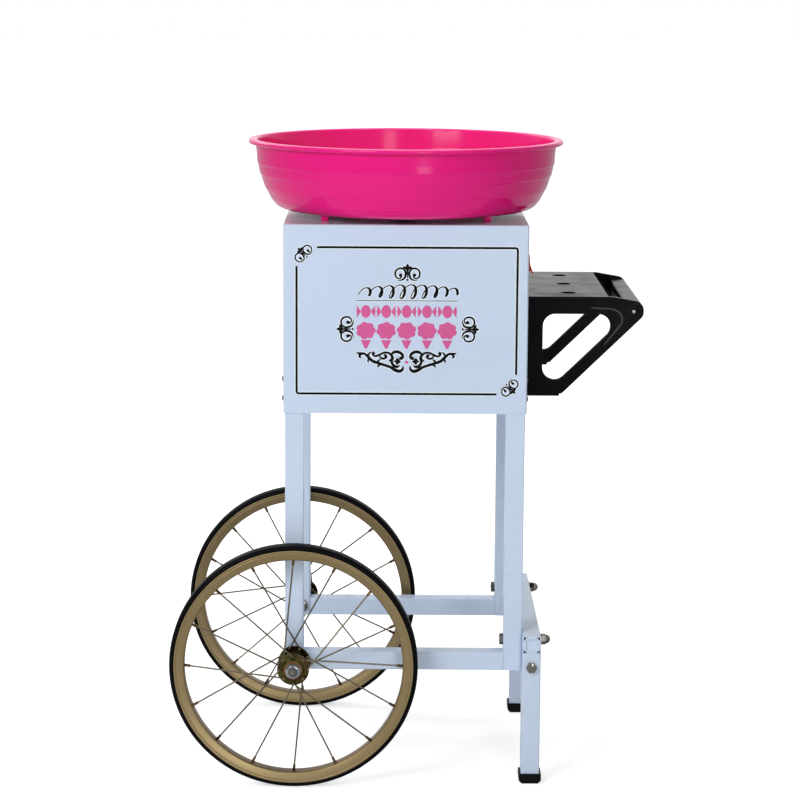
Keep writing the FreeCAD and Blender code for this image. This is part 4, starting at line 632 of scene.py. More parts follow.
def makeFloor():
    ground = dict(size=60, level=-0.0002, colour=(0.82, 0.82, 0.82, 1), rough=0.85, specular=0.1, nearGlow=0.62,
                  farGlow=1.0, near=0.6, far=1.8, mirrored=0.4)
    restMode()
    bpy.ops.mesh.primitive_plane_add(size=ground["size"], location=(0, 0, ground["level"]))
    floor = fixed("studioFloor")
    material = bpy.data.materials.new("floorWhite")
    material.use_nodes = True
    tree = material.node_tree
    length = addNode(tree, "VectorMath", {0: objectPlace(tree)}, operation="LENGTH").outputs["Value"]
    glow = spread(tree, length, ground["near"], ground["far"], ground["nearGlow"], ground["farGlow"])
    feed(tree, tree.nodes["Principled BSDF"], {
        "Base Color": ground["colour"], "Roughness": ground["rough"], "Specular IOR Level": ground["specular"],
        "Emission Color": (1, 1, 1, 1),
        "Emission Strength": times(tree, seenRays(tree, ground["mirrored"]), glow)})
    floor.data.materials.append(material)


makeCamera()
makeLamps()
makeSurroundings()
makeFloor()
bpy.context.scene.view_settings.view_transform = "Standard"
print("camera, lamps and floor set")


# bowl: spun, with faint steps on the outside and four moulded feet

def makeBowl():
    bowl = dict(base=765.5, bottom=9.9, wall=150, rise=2.5, steps=180, rings=(12.2, 27.5, 46.5, 62), line=0.35,
                proud=0.62, fade=9, most=0.9)
    stub = dict(width=11, x=108, y=115, low=758.3, sunk=1, taper=0.9, soft=1.0)
    outside = roundCorners([(62, 22), (112, 0, 10), (176, 0, 22), (193, 28.5, 100), (202.5, 58, 100),
                            (205.5, 88.1)], 8, closed=False)
    wall = []
    heights = sorted({round(bowl["rise"] * i, 2) for i in range(4, 35)}
                     | {h + shift for h in bowl["rings"] for shift in (-bowl["line"], bowl["line"])})
    for height in heights:
        for low, high in zip(outside, outside[1:]):
            if low.y <= height <= high.y and high.y > low.y and low.x > bowl["wall"]:
                across = low.x + (high.x - low.x) * (height - low.y) / (high.y - low.y)
                extra = sum(bowl["proud"] * max(0, 1 - (height - ring) / bowl["fade"])
                            for ring in bowl["rings"] if height > ring)
                wall.append(Vector((across + min(extra, bowl["most"]), height)))
                break
    lower = [point for point in outside if point.y < bowl["bottom"] or point.x < bowl["wall"]]
    lip = roundCorners([(205.5, 80), (205.6, 88.1, 0.6), (215, 88.1, 3.1), (215, 94.5, 3.1), (203, 94.5, 3.4),
                        (200.04, 58.51)], 8, closed=False)[1:-1]
    inside = roundCorners([(203, 90), (200.04, 58.51, 97), (190.71, 29.54, 97), (174.58, 2.5, 19.5),
                           (112.53, 2.5, 12.5), (64.5, 24.5, 1), (64.5, 31, 1), (62, 31, 1), (62, 26)],
                          8, closed=False)[1:-1]
    pieces = [turned("bowl_moulded", [p + Vector((0, bowl["base"])) for p in lower + wall + lip + inside],
                     bowl["steps"])]
    half = stub["width"] / 2
    for sideX in (-1, 1):
        for sideY in (-1, 1):
            x, y = stub["x"] * sideX, stub["y"] * sideY
            foot = block("bowlFoot", (x - half, y - half, stub["low"]),
                         (x + half, y + half, bowl["base"] + stub["sunk"]))
            edit(foot, "FACE", lambda face: face.normal.z < -0.9)
            bpy.ops.transform.resize(value=(stub["taper"], stub["taper"], 1),
                                     center_override=(x * mm, y * mm, stub["low"] * mm))
            restMode()
            softenEdges(foot, stub["soft"])
            pieces.append(foot)
    piece = joined("bowl_moulded", pieces)
    smooth(piece, 40)
    finish(piece, "bowl")


makeBowl()
print("bowl made")


# wheels: tyre, hoop, bent spokes, nipples and hub, each with its axle along Z and its outer side up

def makeTyre():
    tyre = dict(radius=166.8, seat=160.6, half=12, round=5.6, root=155.6, rootHalf=9.9, lip=0.5)
    half = [(tyre["radius"], tyre["half"], tyre["round"]), (tyre["seat"], tyre["half"], tyre["lip"]),
            (tyre["seat"], tyre["rootHalf"]), (tyre["root"], tyre["rootHalf"])]
    return turned("tyre", roundCorners(mirrored(half) + half, 7), 200)


def makeHoop():
    # a channel whose faces lean in towards the hub, with a fine bead beside the tyre
    hoop = dict(inner=146.5, outer=160.5, half=13, narrow=9.1, groove=10, grooveFloor=155.5)
    half = [(hoop["grooveFloor"], hoop["groove"]), (hoop["outer"], hoop["groove"], 0.4),
            (hoop["outer"], hoop["half"], 0.6), (159.0, hoop["half"], 0.6), (158.0, 12.7, 0.5), (157.3, 11.9, 0.5),
            (156.6, 12.3, 0.6), (hoop["inner"], hoop["narrow"], 2.0)]
    return turned("hoop", roundCorners(mirrored(half) + half, 4), 200)


def spokeLines():
    # head, elbow beside the flange and rim hole of each spoke
    spoke = dict(pairs=8, lead=45, hole=18, flange=20, flangeHalf=1, wire=1.1, lift=2.2, play=0.15, rim=147.4)
    lines = []
    for k in range(spoke["pairs"] * 2):
        side = 1 if k % 2 == 0 else -1
        forward = (k // 2) % 2 == k % 2
        rimAngle = k * math.pi / spoke["pairs"]
        hubAngle = rimAngle + math.radians(spoke["lead"] if forward else -spoke["lead"])
        beside = spoke["flangeHalf"] + spoke["wire"] + (spoke["play"] if forward else spoke["wire"] * spoke["lift"])
        face = spoke["flange"] - beside if forward else spoke["flange"] + beside
        head = spoke["flange"] + spoke["flangeHalf"] if forward else spoke["flange"] - spoke["flangeHalf"]
        hole = Vector((math.cos(hubAngle), math.sin(hubAngle), 0)) * spoke["hole"]
        rim = Vector((math.cos(rimAngle), math.sin(rimAngle), 0)) * spoke["rim"]
        lines.append((hole + Vector((0, 0, side * head)), hole + Vector((0, 0, side * face)), rim))
    return lines


def makeSpokes():
    spoke = dict(wire=1.1, rounds=3, seat=0.9, bend=1.2, elbow=1.6, straight=8, end=1.5)
    button = [(0, 0), (1.98, 0, 0.3), (1.98, 0.7, 0.6), (0, 1.1)]
    pieces = []
    for head, elbow, rim in spokeLines():
        run = (rim - elbow).normalized()
        stem = (head - elbow).normalized()
        path = [head + stem * spoke["seat"], head, elbow + stem * spoke["bend"], elbow + run * spoke["elbow"],
                elbow + run * spoke["straight"], rim - run * spoke["end"]]
        pieces.append(wireAlong("spoke", "NURBS", path, spoke["wire"], spoke["rounds"]))
        cap = turned("spokeHead", roundCorners(button, 3, closed=False), 16, closed=False)
        settle(cap, head * mm, stem.to_track_quat("Z", "Y").to_euler())
        pieces.append(cap)
    return joined("spokes", pieces)


def makeNipple():
    # a drilled barrel with a square neck for the key
    barrel = turned("nipple", roundCorners([
        (1.16, 0), (1.75, 0, 0.3), (2.0, 1.2, 0.4), (2.0, 10.6), (2.9, 10.6, 0.3), (2.9, 12.2, 0.6), (1.4, 12.6),
        (1.16, 7.6)], 3), 24)
    for turn in range(4):
        flat = block("flat", (1.72, -3, 0.9), (4, 3, 5.2))
        settle(flat, (0, 0, 0), (0, 0, turn * math.pi / 2))
        carve(barrel, flat)
    return barrel


def makeNipples():
    reach = 9
    model = makeNipple()
    pieces = []
    for head, elbow, rim in spokeLines():
        run = (rim - elbow).normalized()
        pieces.append(copyAt(model, "nipple", (rim - run * reach) * mm, run.to_track_quat("Z", "Y").to_euler()))
    discard(model)
    return joined("nipples", pieces)


def makeHub():
    # a shell with two drilled flanges and cups for the bushes
    drilled = dict(holes=16, ring=18, bore=1.28, low=18.6, high=21.4)
    half = [(10.5, 15, 3), (14, 19, 0.4), (21.5, 19, 0.5), (21.5, 21, 0.5), (14.6, 21, 0.6), (14, 24, 1.5),
            (8.05, 24, 0.3)]
    piece = turned("hub", roundCorners(mirrored(half) + half, 5), 96)
    for k in range(drilled["holes"]):
        angle = k * fullTurn / drilled["holes"]
        low, high = sorted(((-1) ** k * drilled["low"], (-1) ** k * drilled["high"]))
        hole = drum("hole", drilled["bore"], low, high, 20)
        settle(hole, (drilled["ring"] * math.cos(angle) * mm, drilled["ring"] * math.sin(angle) * mm, 0))
        carve(piece, hole)
    return piece


def makeBushes():
    shape = [(5.05, 12), (8, 12), (8, 24), (12, 24, 0.5), (12, 26, 0.7), (7.2, 26, 0.4), (6.8, 25.4, 0.4),
             (5.05, 25.4, 0.3)]
    pieces = []
    for turn in (math.pi, 0):
        piece = turned("bush", roundCorners(shape, 4), 64)
        settle(piece, turn=(turn, 0, 0))
        pieces.append(piece)
    return joined("bushes", pieces)


def makeWheels():
    models = {
        "tyre": (makeTyre(), "tyre_ring", 50), "rim": (makeHoop(), "rim_hoop", 40),
        "spokes": (makeSpokes(), "spoke_set", 40), "nipples": (makeNipples(), "nipple_set", 30),
        "hub": (makeHub(), "hub_shell", 35), "hub_bushes": (makeBushes(), "bush_pair", 35),
    }
    centres = {"front": (-0.1475, -0.186, 0.1668), "rear": (-0.1475, 0.186, 0.1668)}
    for side, centre in centres.items():
        for part, (model, name, angle) in models.items():
            piece = copyAt(model, f"{side}_wheel_{name}", centre, (math.pi / 2, 0, 0 if side == "front" else math.pi))
            smooth(piece, angle)
            finish(piece, f"{side}_wheel_{part}")
    for model, name, angle in models.values():
        discard(model)


makeWheels()
print("wheels made")


# fasteners: each kind is modelled once and copied to its places, its length along Z

def makeHexBlank(acrossFlats, height, bottomToo=True):
    # a six-sided block with its corners turned off by a cone, which runs past both ends and stands askew,
    # so that no face or edge of the two lies in the other
    cone = dict(flat=0.47, slope=28, clear=0.3, rise=1.2, past=0.5, askew=0.05)
    corner = acrossFlats / math.sqrt(3)
    flat = acrossFlats * cone["flat"]
    drop = (corner - flat) * math.tan(math.radians(cone["slope"])) * cone["rise"]
    edge = corner + cone["clear"]
    end = flat - cone["past"] * (edge - flat) / drop
    low = [(end, -cone["past"]), (edge, drop)] if bottomToo else [(edge, -cone["past"])]
    shape = [(0, -cone["past"])] + low + [(edge, height - drop), (end, height + cone["past"]),
                                          (0, height + cone["past"])]
    piece = drum("hexBlank", corner, 0, height, 6)
    cutter = turned("hexCone", shape, 48, closed=False)
    settle(cutter, turn=(0, 0, cone["askew"]))
    carve(piece, cutter, "INTERSECT")
    return piece


def makeHexNut(acrossFlats, height, bore):
    # the bore opens in a cone at both ends, which runs past them
    mouth = dict(deep=0.9, past=0.5)
    wide = bore + mouth["deep"] + mouth["past"]
    piece = makeHexBlank(acrossFlats, height)
    shape = [(0, -mouth["past"]), (wide, -mouth["past"]), (bore, mouth["deep"]), (bore, height - mouth["deep"]),
             (wide, height + mouth["past"]), (0, height + mouth["past"])]
    carve(piece, turned("nutBore", shape, 40, closed=False))
    return piece


def makeHexBolt(acrossFlats, height, shank, reach):
    # the head's underside is at 0 and the shank runs down
    thread = dict(ridges=28, pitch=0.62, depth=0.28, point=0.9, top=0.4)
    head = makeHexBlank(acrossFlats, height, bottomToo=False)
    ridges = [(shank - (thread["depth"] if i % 2 else 0.0), -reach + 1.0 + thread["pitch"] * i)
              for i in range(thread["ridges"])]
    shape = [(0, -reach), (shank - thread["point"], -reach)] + ridges
    shape += [(shank, ridges[-1][1] + 1), (shank, thread["top"]), (0, thread["top"])]
    return joined("hexBolt", [head, turned("boltShank", shape, 32, closed=False)])


def makeAcornNut(acrossFlats, height):
    dome = dict(radius=6.2, first=8, last=90, steps=12)
    base = makeHexBlank(acrossFlats, height)
    shape = roundCorners([(0, 6.0), (6.1, 6.0), (6.1, 7.0, 0.4)], 3, closed=False)
    for i in range(dome["steps"] + 1):
        angle = math.radians(dome["first"] + (dome["last"] - dome["first"]) * i / dome["steps"])
        shape.append(Vector((dome["radius"] * math.cos(angle), height + dome["radius"] * math.sin(angle))))
    return joined("acornNut", [base, turned("acornDome", shape, 48, closed=False)])


def makeCrossScrew(head, height, shank, reach):
    # the head's underside is at 0, its domed top has a cross recess
    recess = dict(half=0.46, width=0.1, low=0.35, turn=0.3)
    point = [(0, -reach), (shank * 0.6, -reach), (shank, -reach + shank), (shank, 0)]
    crown = [(head, 0), (head, height * 0.2), (head * 0.93, height * 0.52), (head * 0.75, height * 0.8),
             (head * 0.45, height * 0.97), (0, height)]
    body = turned("screwBody", point + crown, 36, closed=False)
    for turn in (0, math.pi / 2):
        slot = block("slot", (-head * recess["half"], -head * recess["width"], height * recess["low"]),
                     (head * recess["half"], head * recess["width"], height + 1))
        settle(slot, turn=(0, 0, turn + recess["turn"]))
        carve(body, slot)
    return body


def fasten(name, node, *groups, angle=30, look=None):
    # a group is a maker, its sizes and spots: point, direction that the model's Z points to, turn about it
    pieces = []
    for maker, sizes, spots in groups:
        model = maker(**sizes)
        for point, way, twist in spots:
            twin = copyAt(model, "fastener", turn=(0, 0, twist))
            settle(twin, Vector(point) * mm, Vector(way).to_track_quat("Z", "Y").to_euler())
            pieces.append(twin)
        discard(model)
    piece = joined(name, pieces)
    smooth(piece, angle)
    finish(piece, node, look)


def makeFasteners():
    ends = (-1, 1)
    leg = dict(y=143.5, z=193.3, boltX=135, nutX=186.6)
    foot = dict(x=172.5, z=162.8, boltY=176, nutY=151)
    axle = dict(x=-147.5, z=166.8, boltY=131, nutY=213.8)
    m8 = dict(acrossFlats=13, height=5.3, shank=4)
    m8Nut = dict(acrossFlats=13, height=6.5)
    m4 = dict(head=4, height=2.4, shank=2)
    fasten("stand_bolt_set", "stand_bolts",
           (makeHexBolt, dict(m8, reach=58), [((leg["boltX"], leg["y"] * s, leg["z"]), (-1, 0, 0), 0.2 + s)
                                              for s in ends]),
           (makeHexBolt, dict(m8, reach=33.5), [((foot["x"], foot["boltY"] * s, foot["z"]), (0, s, 0), 0.5 * s)
                                                for s in ends]))
    fasten("acorn_nut_pair", "crossbar_acorn_nuts",
           (makeAcornNut, m8Nut, [((leg["nutX"], leg["y"] * s, leg["z"]), (1, 0, 0), 0.4 * s) for s in ends]),
           angle=35)
    fasten("foot_nut_pair", "foot_leg_nuts",
           (makeHexNut, dict(m8Nut, bore=4.05), [((foot["x"], foot["nutY"] * s, foot["z"]), (0, -s, 0), 0.25)
                                                 for s in ends]))
    fasten("axle_nut_pair", "axle_nuts",
           (makeHexNut, dict(acrossFlats=17, height=6.5, bore=5.05),
            [((axle["x"], axle["nutY"] * s, axle["z"]), (0, s, 0), 0.15) for s in ends]), look="axleNickel")
    fasten("axle_bolt_pair", "axle_bolts",
           (makeHexBolt, dict(acrossFlats=17, height=6.4, shank=5, reach=90.8),
            [((axle["x"], axle["boltY"] * s, axle["z"]), (0, -s, 0), 0.3) for s in ends]))
    sideScrews = [((162 * sx, leg["y"] * sy, z), (sx, 0, 0), 0.7 * sy + z) for sx in ends for sy in ends
                  for z in (524, 550)]
    backScrews = [((153.25 * sx, 159.2, z), (0, 1, 0), z * 0.3) for sx in ends for z in (587, 657.25, 727.5)]
    fasten("cabinet_screw_set", "cabinet_screws", (makeCrossScrew, dict(m4, reach=8), sideScrews + backScrews))
    fasten("handle_screw_pair", "handle_screws",
           (makeCrossScrew, dict(head=3.75, height=2, shank=2.5, reach=15.9),
            [((304, 133 * s, 641), (0, s, 0), 0.4) for s in ends]))
    fasten("motor_mount_screw_set", "motor_mount_screws",
           (makeCrossScrew, dict(m4, reach=19), [((42 * i, 30 * j, 758), (0, 0, 1), i + j)
                                                 for i in ends for j in ends]))
    fasten("shelf_deck_screw_set", "shelf_deck_screws",
           (makeCrossScrew, dict(m4, reach=6.5), [((162 + out, 121.5 * s, 653), (0, 0, -1), out)
                                                  for s in ends for out in (20, 88)]))
    fasten("spinner_hex_nut", "spinner_nut",
           (makeHexNut, dict(acrossFlats=13, height=5, bore=4.05), [((0, 0, 801), (0, 0, 1), 0.1)]))


makeFasteners()
print("fasteners made")


# flat strokes, for the ribs on the brackets and for the print

def inkStroke(points, widths, proud, grow=0.0):
    # a run of thick and thin with a flat top and sloping sides, its back sunk in the sheet
    film = dict(share=0.54, sunk=0.3, middle=0.00001)
    stroke = wireAlong("stroke", "POLY", [(x, 0, z) for x, z in points], 1.0, 2,
                       [width * film["share"] + grow for width in widths])
    for side, depth in ((-1, proud), (1, film["sunk"])):
        edit(stroke, "VERT", lambda vertex: vertex.co.y * side > film["middle"])
        bpy.ops.transform.resize(value=(1, 0, 1), center_override=(0, side * depth * mm, 0))
    restMode()
    return stroke


def lay(piece, sheet, node, look):
    # brings the film to the sheet's outer face and cleans it
    settle(piece, (0, sheet * mm, 0))
    edit(piece)
    weld()
    smooth(piece, 40)
    finish(piece, node, look, replaced=False)


def smoothRuns(strokes, parts=6):
    # a Catmull-Rom run through each stroke's points
    smoothed = []
    for points, widths in strokes:
        knots = [Vector((x, z, w)) for (x, z), w in zip(points, widths)]
        knots = [knots[0] * 2 - knots[1]] + knots + [knots[-1] * 2 - knots[-2]]
        run = []
        for a, b, c, d in zip(knots, knots[1:], knots[2:], knots[3:]):
            for i in range(parts):
                t = i / parts
                run.append(0.5 * (2 * b + (c - a) * t + (2 * a - 5 * b + 4 * c - d) * t * t
                                  + (3 * b - a - 3 * c + d) * t ** 3))
        run.append(knots[-2])
        smoothed.append(([(p.x, p.y) for p in run], [max(p.z, 0.2) for p in run]))
    return smoothed


# stand, cabinet and shelf: welded copies of the frame's own nodes with softened edges

hair = 0.0001     # how near an edge counts as lying in a face


def legEdges(edge, low, high):
    # long edges at the outside corners of an upright tube
    point = middleOf(edge)
    outside = all(min(abs(point[i] - low[i]), abs(point[i] - high[i])) < hair for i in (0, 1))
    return span(edge) > 0.02 and outside


def convexOver(length):
    return lambda edge, low, high: edge.is_convex and span(edge) > length


def topEdges(edge, low, high):
    return middleOf(edge).z > high.z - hair


def makeEndPlugs():
    # a square plug with cut corners and a sunk middle, once for each end of the crossbar
    plug = dict(x=172.5, z=193.3, half=10.9, inner=172.0, outer=176.0, cut=4.6, well=7.9, sunk=2.6, soft=0.25)
    cornerSpan = 0.005
    pieces = []
    for side in (-1, 1):
        near, far = sorted((plug["inner"] * side, plug["outer"] * side))
        piece = block("endPlug", (plug["x"] - plug["half"], near, plug["z"] - plug["half"]),
                      (plug["x"] + plug["half"], far, plug["z"] + plug["half"]))
        edit(piece, "EDGE", lambda edge: span(edge) < cornerSpan)
        bevel(plug["cut"], 1)
        restMode()
        near, far = sorted(((plug["outer"] - plug["sunk"]) * side, (plug["outer"] + 1) * side))
        carve(piece, block("plugRecess", (plug["x"] - plug["well"], near, plug["z"] - plug["well"]),
                           (plug["x"] + plug["well"], far, plug["z"] + plug["well"])))
        softenEdges(piece, plug["soft"], 2)
        pieces.append(piece)
    whole = joined("end_plug_pair", pieces)
    smooth(whole, 30)
    finish(whole, "crossbar_end_plugs")


def makeStand():
    for side in ("left_front", "left_rear", "right_front", "right_rear"):
        dressed(f"{side}_leg", legEdges, 2.0, 4)
    dressed("stretchers", convexOver(0.06), 2.0, 4)
    dressed("foot_crossbar", convexOver(0.3), 2.0, 4)
    dressed("foot_legs", convexOver(0.06), 2.0, 4)
    dressed("foot_caps", convexOver(0.003), 0.7)
    makeEndPlugs()
    dressed("crossbar_washers")
    dressed("axle_washers", look="axleNickel")
    dressed("axle_spacers")


def makeCabinet():
    dressed("cabinet_shell", angle=30)
    # the top wears the cabinet paint with painted shade and a painted pink reflection of the bowl
    dressed("cabinet_top", angle=30, look="deckPaint")
    for node in ("cabinet_back_panel", "cabinet_floor", "cord_gland"):
        dressed(node)
    dressed("terminal_block", lambda edge, low, high: span(edge) > 0.01)
    dressed("switch_housing", lambda edge, low, high: edge.is_convex and middleOf(edge).x > high.x - hair
            and span(edge) > 0.0004, 0.5)


def makeShelf():
    dressed("shelf_deck", topEdges, 0.6)
    for side, y in (("front", -0.1355), ("rear", 0.1355)):
        eye = Vector((0.304, y, 0.641))
        dressed(f"{side}_shelf_bracket", lambda edge, low, high: abs(middleOf(edge).y - y) < hair
                and (middleOf(edge) - eye).length > 0.006, 0.9)
    dressed("handle_grip", lambda edge, low, high: span(edge) > 0.2, 0.6, 2)


def makeBracketRibs():
    # a low rib on each bracket's outer face, round the outer corner of the window
    rib = dict(width=3.3, proud=0.9, face=135.5,
               path=[(246.9, 646.3), (262, 645.7), (272, 645.2), (279.5, 643.4), (285.5, 638.6), (288.6, 631.6),
                     (287.0, 625.2), (282.4, 618.8), (265, 596.7)])
    for side, way, turn in (("front", 1, 0), ("rear", -1, math.pi)):
        path = [(x * way, z) for x, z in rib["path"]]
        run, widths = smoothRuns([(path, [rib["width"]] * len(path))])[0]
        piece = inkStroke(run, widths, rib["proud"])
        piece.name = piece.data.name = f"{side}_bracket_rib"
        settle(piece, turn=(0, 0, turn))
        lay(piece, -rib["face"] * way, f"{side}_shelf_bracket", "ribBlack")


makeStand()
makeCabinet()
makeShelf()
makeBracketRibs()
print("stand, cabinet and shelf dressed")


# floss drive that shows in the bowl, and the switch's red rocker

def makeDrive():
    dressed("heater_dish", topEdges, 0.4)
    dressed("heating_element", angle=60)
    dressed("element_holders", topEdges, 0.5)
    dressed("motor_collar")
    dressed("spinner_base", angle=30)
    dressed("spinner_cap", lambda edge, low, high: middleOf(edge).z > high.z - 2 * hair
            and middleOf(edge).xy.length > 0.03, 0.4)
    dressed("motor_shaft", topEdges)


makeDrive()
print("drive dressed")
dressed("switch_rocker", lambda edge, low, high: edge.is_convex and span(edge) > 0.004
        and middleOf(edge).x > 0.163, 0.5)
print("switch made")


# print on the cabinet's front: scrolls and motifs, each a thin raised film

def inkStrokes(strokes, name, proud, grow=0.0, rise=0.0007):
    # each stroke lies a hair above the one before
    return joined(name, [inkStroke(points, widths, proud + rise * i, grow)
                         for i, (points, widths) in enumerate(strokes)])


def fleuronStrokes():
    # two mirrored volutes, a trefoil bud and a stem, centred on 0, 0 and pointing up
    half = [
        ([(-13.4, -10.2), (-9, -9.7), (-4.6, -7.8), (-2.6, -4), (-2.7, 0.2), (-5.4, 3.5), (-9.9, 4.3), (-14.2, 2.6),
          (-16.3, -1.6), (-15, -6), (-11.4, -7.8), (-8.2, -6.2), (-8.4, -3.4)],
         [0.4, 1.4, 2.3, 2.6, 2.5, 2.3, 2.2, 2.2, 2.2, 2.0, 1.7, 1.7, 2.0]),
        ([(-8.3, -5.9), (-8.8, -4.4), (-9.4, -3.0), (-10.0, -1.9)], [1.8, 3.6, 4.2, 1.6]),
        ([(0.0, 2.0), (-2.2, 4.4), (-4.2, 5.6), (-6.2, 5.0)], [1.8, 2.6, 2.6, 0.5]),
    ]
    strokes = half + [([(-x, z) for x, z in points], widths) for points, widths in half]
    strokes.append(([(0, -7.0), (0, -4.0), (0, 0.0), (0, 3.0), (0, 5.4), (0, 7.4), (0, 10.0)],
                    [1.5, 1.5, 1.9, 3.0, 3.4, 3.6, 0.4]))
    strokes.append(([(0, -10.4), (0, -9.6), (0, -8.8), (0, -8.0)], [0.8, 3.0, 3.0, 0.8]))
    return strokes


def turnStrokes(strokes, centre, degrees, size=1.0):
    # up is turned clockwise by the given degrees
    across, along = math.cos(math.radians(degrees)), math.sin(math.radians(degrees))
    return [([(centre[0] + size * (x * across + z * along), centre[1] + size * (z * across - x * along))
              for x, z in points], [width * size for width in widths]) for points, widths in strokes]


def frameLines():
    width = 3.2
    top = [(-117.3, 727.9), (144.4, 727.9), (146.4, 727.2), (147, 725.3), (147, 559.0)]
    low = [(-144.2, 702.6), (-144.2, 535.2), (-143.6, 533.3), (-141.6, 532.6), (121.3, 532.6)]
    return [(run, [width] * len(run)) for run in (top, low)]


def vineStrokes():
    # a mirrored scroll of vines with curls and thorns
    half = [
        ([(-65, 588), (-60, 586.4), (-55, 586.6), (-50, 583), (-44, 577), (-36, 574), (-28, 571.4), (-20, 568.6),
          (-13, 564.4), (-7.4, 563.2), (-3.6, 566.0), (-3.2, 570.2)],
         [0.4, 2.2, 1.7, 2.1, 2.3, 2.1, 2.0, 2.1, 2.5, 2.4, 1.8, 1.0]),
        ([(-60, 586.2), (-60.6, 582.4), (-58.6, 580.8)], [1.6, 1.8, 0.4]),
        ([(-50.5, 583.4), (-47.2, 587.6), (-44.2, 589)], [1.8, 1.2, 0.3]),
        ([(-48, 580.6), (-49.6, 576.6), (-48.6, 573.8)], [1.8, 1.3, 0.3]),
        ([(-38, 574.6), (-34.4, 578.2), (-32, 578.4)], [1.8, 1.2, 0.3]),
        ([(-33, 573.0), (-36.4, 569.6), (-36.6, 567.8)], [1.8, 1.2, 0.3]),
        ([(-41, 588.2), (-43.2, 586.6), (-41.8, 583.8), (-38, 583.6), (-34, 585.4), (-28, 588.0), (-22, 587.4),
          (-18.0, 583.6), (-17.4, 579.4), (-20.4, 577.4), (-22.0, 576.6)],
         [2.6, 1.8, 1.5, 1.6, 1.7, 1.6, 1.7, 2.0, 2.3, 1.6, 0.5]),
        ([(-34, 585.2), (-33.2, 581.4), (-28.8, 580.0), (-25.6, 582.0), (-26.6, 584.2), (-28.2, 583.4)],
         [0.8, 1.4, 1.6, 1.8, 2.2, 2.2]),
        ([(-19.4, 584), (-16.2, 588.2), (-10.6, 589.2), (-5.4, 586.8), (-3.4, 582.6), (-5.6, 580.2), (-8.2, 581.4)],
         [0.8, 2.0, 2.2, 2.2, 2.0, 2.2, 2.6]),
        ([(-18.2, 578.2), (-17.6, 573.6), (-14.4, 570.0), (-10.2, 569.2), (-7.4, 571.6)], [1.8, 2.0, 2.2, 1.8, 0.5]),
        ([(-15.6, 576.6), (-12.4, 576.4), (-9.0, 576.2), (-6.0, 576.2)], [0.8, 1.6, 2.8, 0.5]),
        ([(-10.8, 581.0), (-10.8, 578.4), (-10.8, 574.4), (-10.8, 571.6)], [0.5, 2.6, 2.4, 0.5]),
    ]
    vine = dict(bolder=1.95, mirror=3.0)
    strokes = []
    for points, widths in half:
        bold = [width * vine["bolder"] for width in widths]
        strokes.append((points, bold))
        strokes.append(([(vine["mirror"] - x, z) for x, z in points], bold))
    return smoothRuns(strokes)


def scrollLine():
    # a row of slanted pen loops, tallest in the middle, over the underline
    pen = dict(loops=9, parts=216, start=-61, length=130, level=669.4, tall=9.4, back=5.6, slant=0.35,
               thin=1.5, thick=2.5, end=0.3)
    points, widths = [], []
    for i in range(pen["parts"] + 1):
        t = i / pen["parts"]
        angle = t * pen["loops"] * fullTurn
        swell = 0.45 + 0.55 * math.sin(math.pi * t)
        height = pen["tall"] * swell * -math.cos(angle)
        points.append((pen["start"] + pen["length"] * t - pen["back"] * swell * math.sin(angle)
                       + height * pen["slant"], pen["level"] + height))
        widths.append(pen["thin"] + pen["thick"] * max(0.0, -math.sin(angle)))
    widths[0] = widths[-1] = pen["end"]
    return [(points, widths)]


def inkOutline(outline, proud):
    # a filled flat shape, raised a little from the sheet
    data = bpy.data.curves.new("shape", "CURVE")
    data.dimensions = "2D"
    data.fill_mode = "BOTH"
    data.extrude = proud * mm
    spline = data.splines.new("POLY")
    spline.points.add(len(outline) - 1)
    for knot, (x, z) in zip(spline.points, outline):
        knot.co = (x * mm, z * mm, 0, 1)
    spline.use_cyclic_u = True
    shape = addObject("shape", data)
    shape.rotation_euler = (math.pi / 2, 0, 0)
    return shape


def ovalOutline(x, z, wide, tall, parts):
    angles = [fullTurn * i / parts for i in range(parts)]
    return [(x + wide * math.cos(angle), z + tall * math.sin(angle)) for angle in angles]


def puffOutline(x, turn):
    # a cloud of floss with seven lobes
    puff = dict(z=617.4, wide=13.2, tall=11.8, parts=96, lobes=7, least=0.84, bulge=0.16)
    points = []
    for i in range(puff["parts"]):
        angle = fullTurn * i / puff["parts"]
        bulge = puff["least"] + puff["bulge"] * abs(math.cos(puff["lobes"] * (angle + turn) / 2))
        points.append((x + puff["wide"] * bulge * math.cos(angle), puff["z"] + puff["tall"] * bulge * math.sin(angle)))
    return points


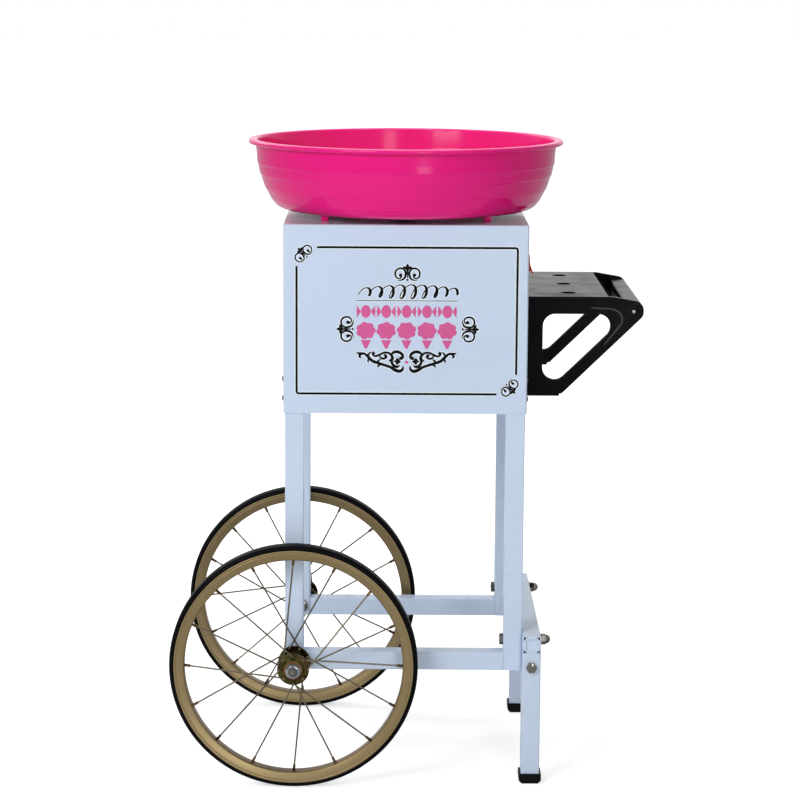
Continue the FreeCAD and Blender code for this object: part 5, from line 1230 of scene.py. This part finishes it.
def coneOutline(x):
    cone = dict(top=604.8, low=593.4, topHalf=7.0, lowHalf=1.4)
    return [(x - cone["topHalf"], cone["top"]), (x - cone["lowHalf"], cone["low"]),
            (x + cone["lowHalf"], cone["low"]), (x + cone["topHalf"], cone["top"])]


def sweetOutlines(x):
    # a wrapped sweet: a round middle and two fanned ends
    z, size = 642.9, 11.3
    fan = [(0.61, 0.08), (1.08, 0.74), (1.06, 0.3), (1.14, 0), (1.06, -0.3), (1.08, -0.74), (0.61, -0.08)]
    ends = [[(x + side * size * across, z + size * up) for across, up in fan] for side in (-1, 1)]
    return [ovalOutline(x, z, size * 0.57, size * 0.76, 40)] + ends


def pinkShapes():
    row = dict(count=5, start=-52.6, step=26.9, turn=0.3)
    shapes = []
    for k in range(row["count"]):
        x = row["start"] + row["step"] * k
        shapes += [puffOutline(x, row["turn"] * k), coneOutline(x)] + sweetOutlines(x)
    shapes.append(ovalOutline(1.5, 575.1, 2.1, 2.1, 24))
    return shapes


def makePrint():
    film = dict(sheet=-158.0, ink=0.10, edging=0.04, edge=0.95, taller=1.13, bolder=1.2)
    spots = (((2.0, 695.6), 0, 1.0), ((-80.5, 619.3), -90, 1.0), ((86.1, 619.6), 90, 1.0),
             ((-136.5, 720.6), -45, 0.79), ((140.1, 540.0), 135, 0.79))
    fleuron = [([(x, z * film["taller"]) for x, z in points], [width * film["bolder"] for width in widths])
               for points, widths in smoothRuns(fleuronStrokes(), 4)]
    ink = []
    for centre, degrees, size in spots:
        ink += turnStrokes(fleuron, centre, degrees, size)
    ink += vineStrokes()
    ink += scrollLine()
    ink.append(([(-64.8, 657.4), (68.6, 657.4)], [1.1, 1.1]))
    ink += frameLines()
    black = inkStrokes(ink, "print_black", film["ink"])
    edging = inkStrokes(ink, "print_edging", film["edging"], film["edge"], 0.0003)
    pink = [inkOutline(outline, film["ink"]) for outline in pinkShapes()]
    pick(*pink)
    bpy.ops.object.convert(target="MESH")
    pinkFilm = joined("print_pink", pink)
    settle(pinkFilm, (0, 0, 0), pinkFilm.rotation_euler)
    for piece, look in ((black, "inkBlack"), (edging, "inkWhite"), (pinkFilm, "inkPink")):
        lay(piece, film["sheet"], "cabinet_shell", look)


makePrint()
print("print laid")
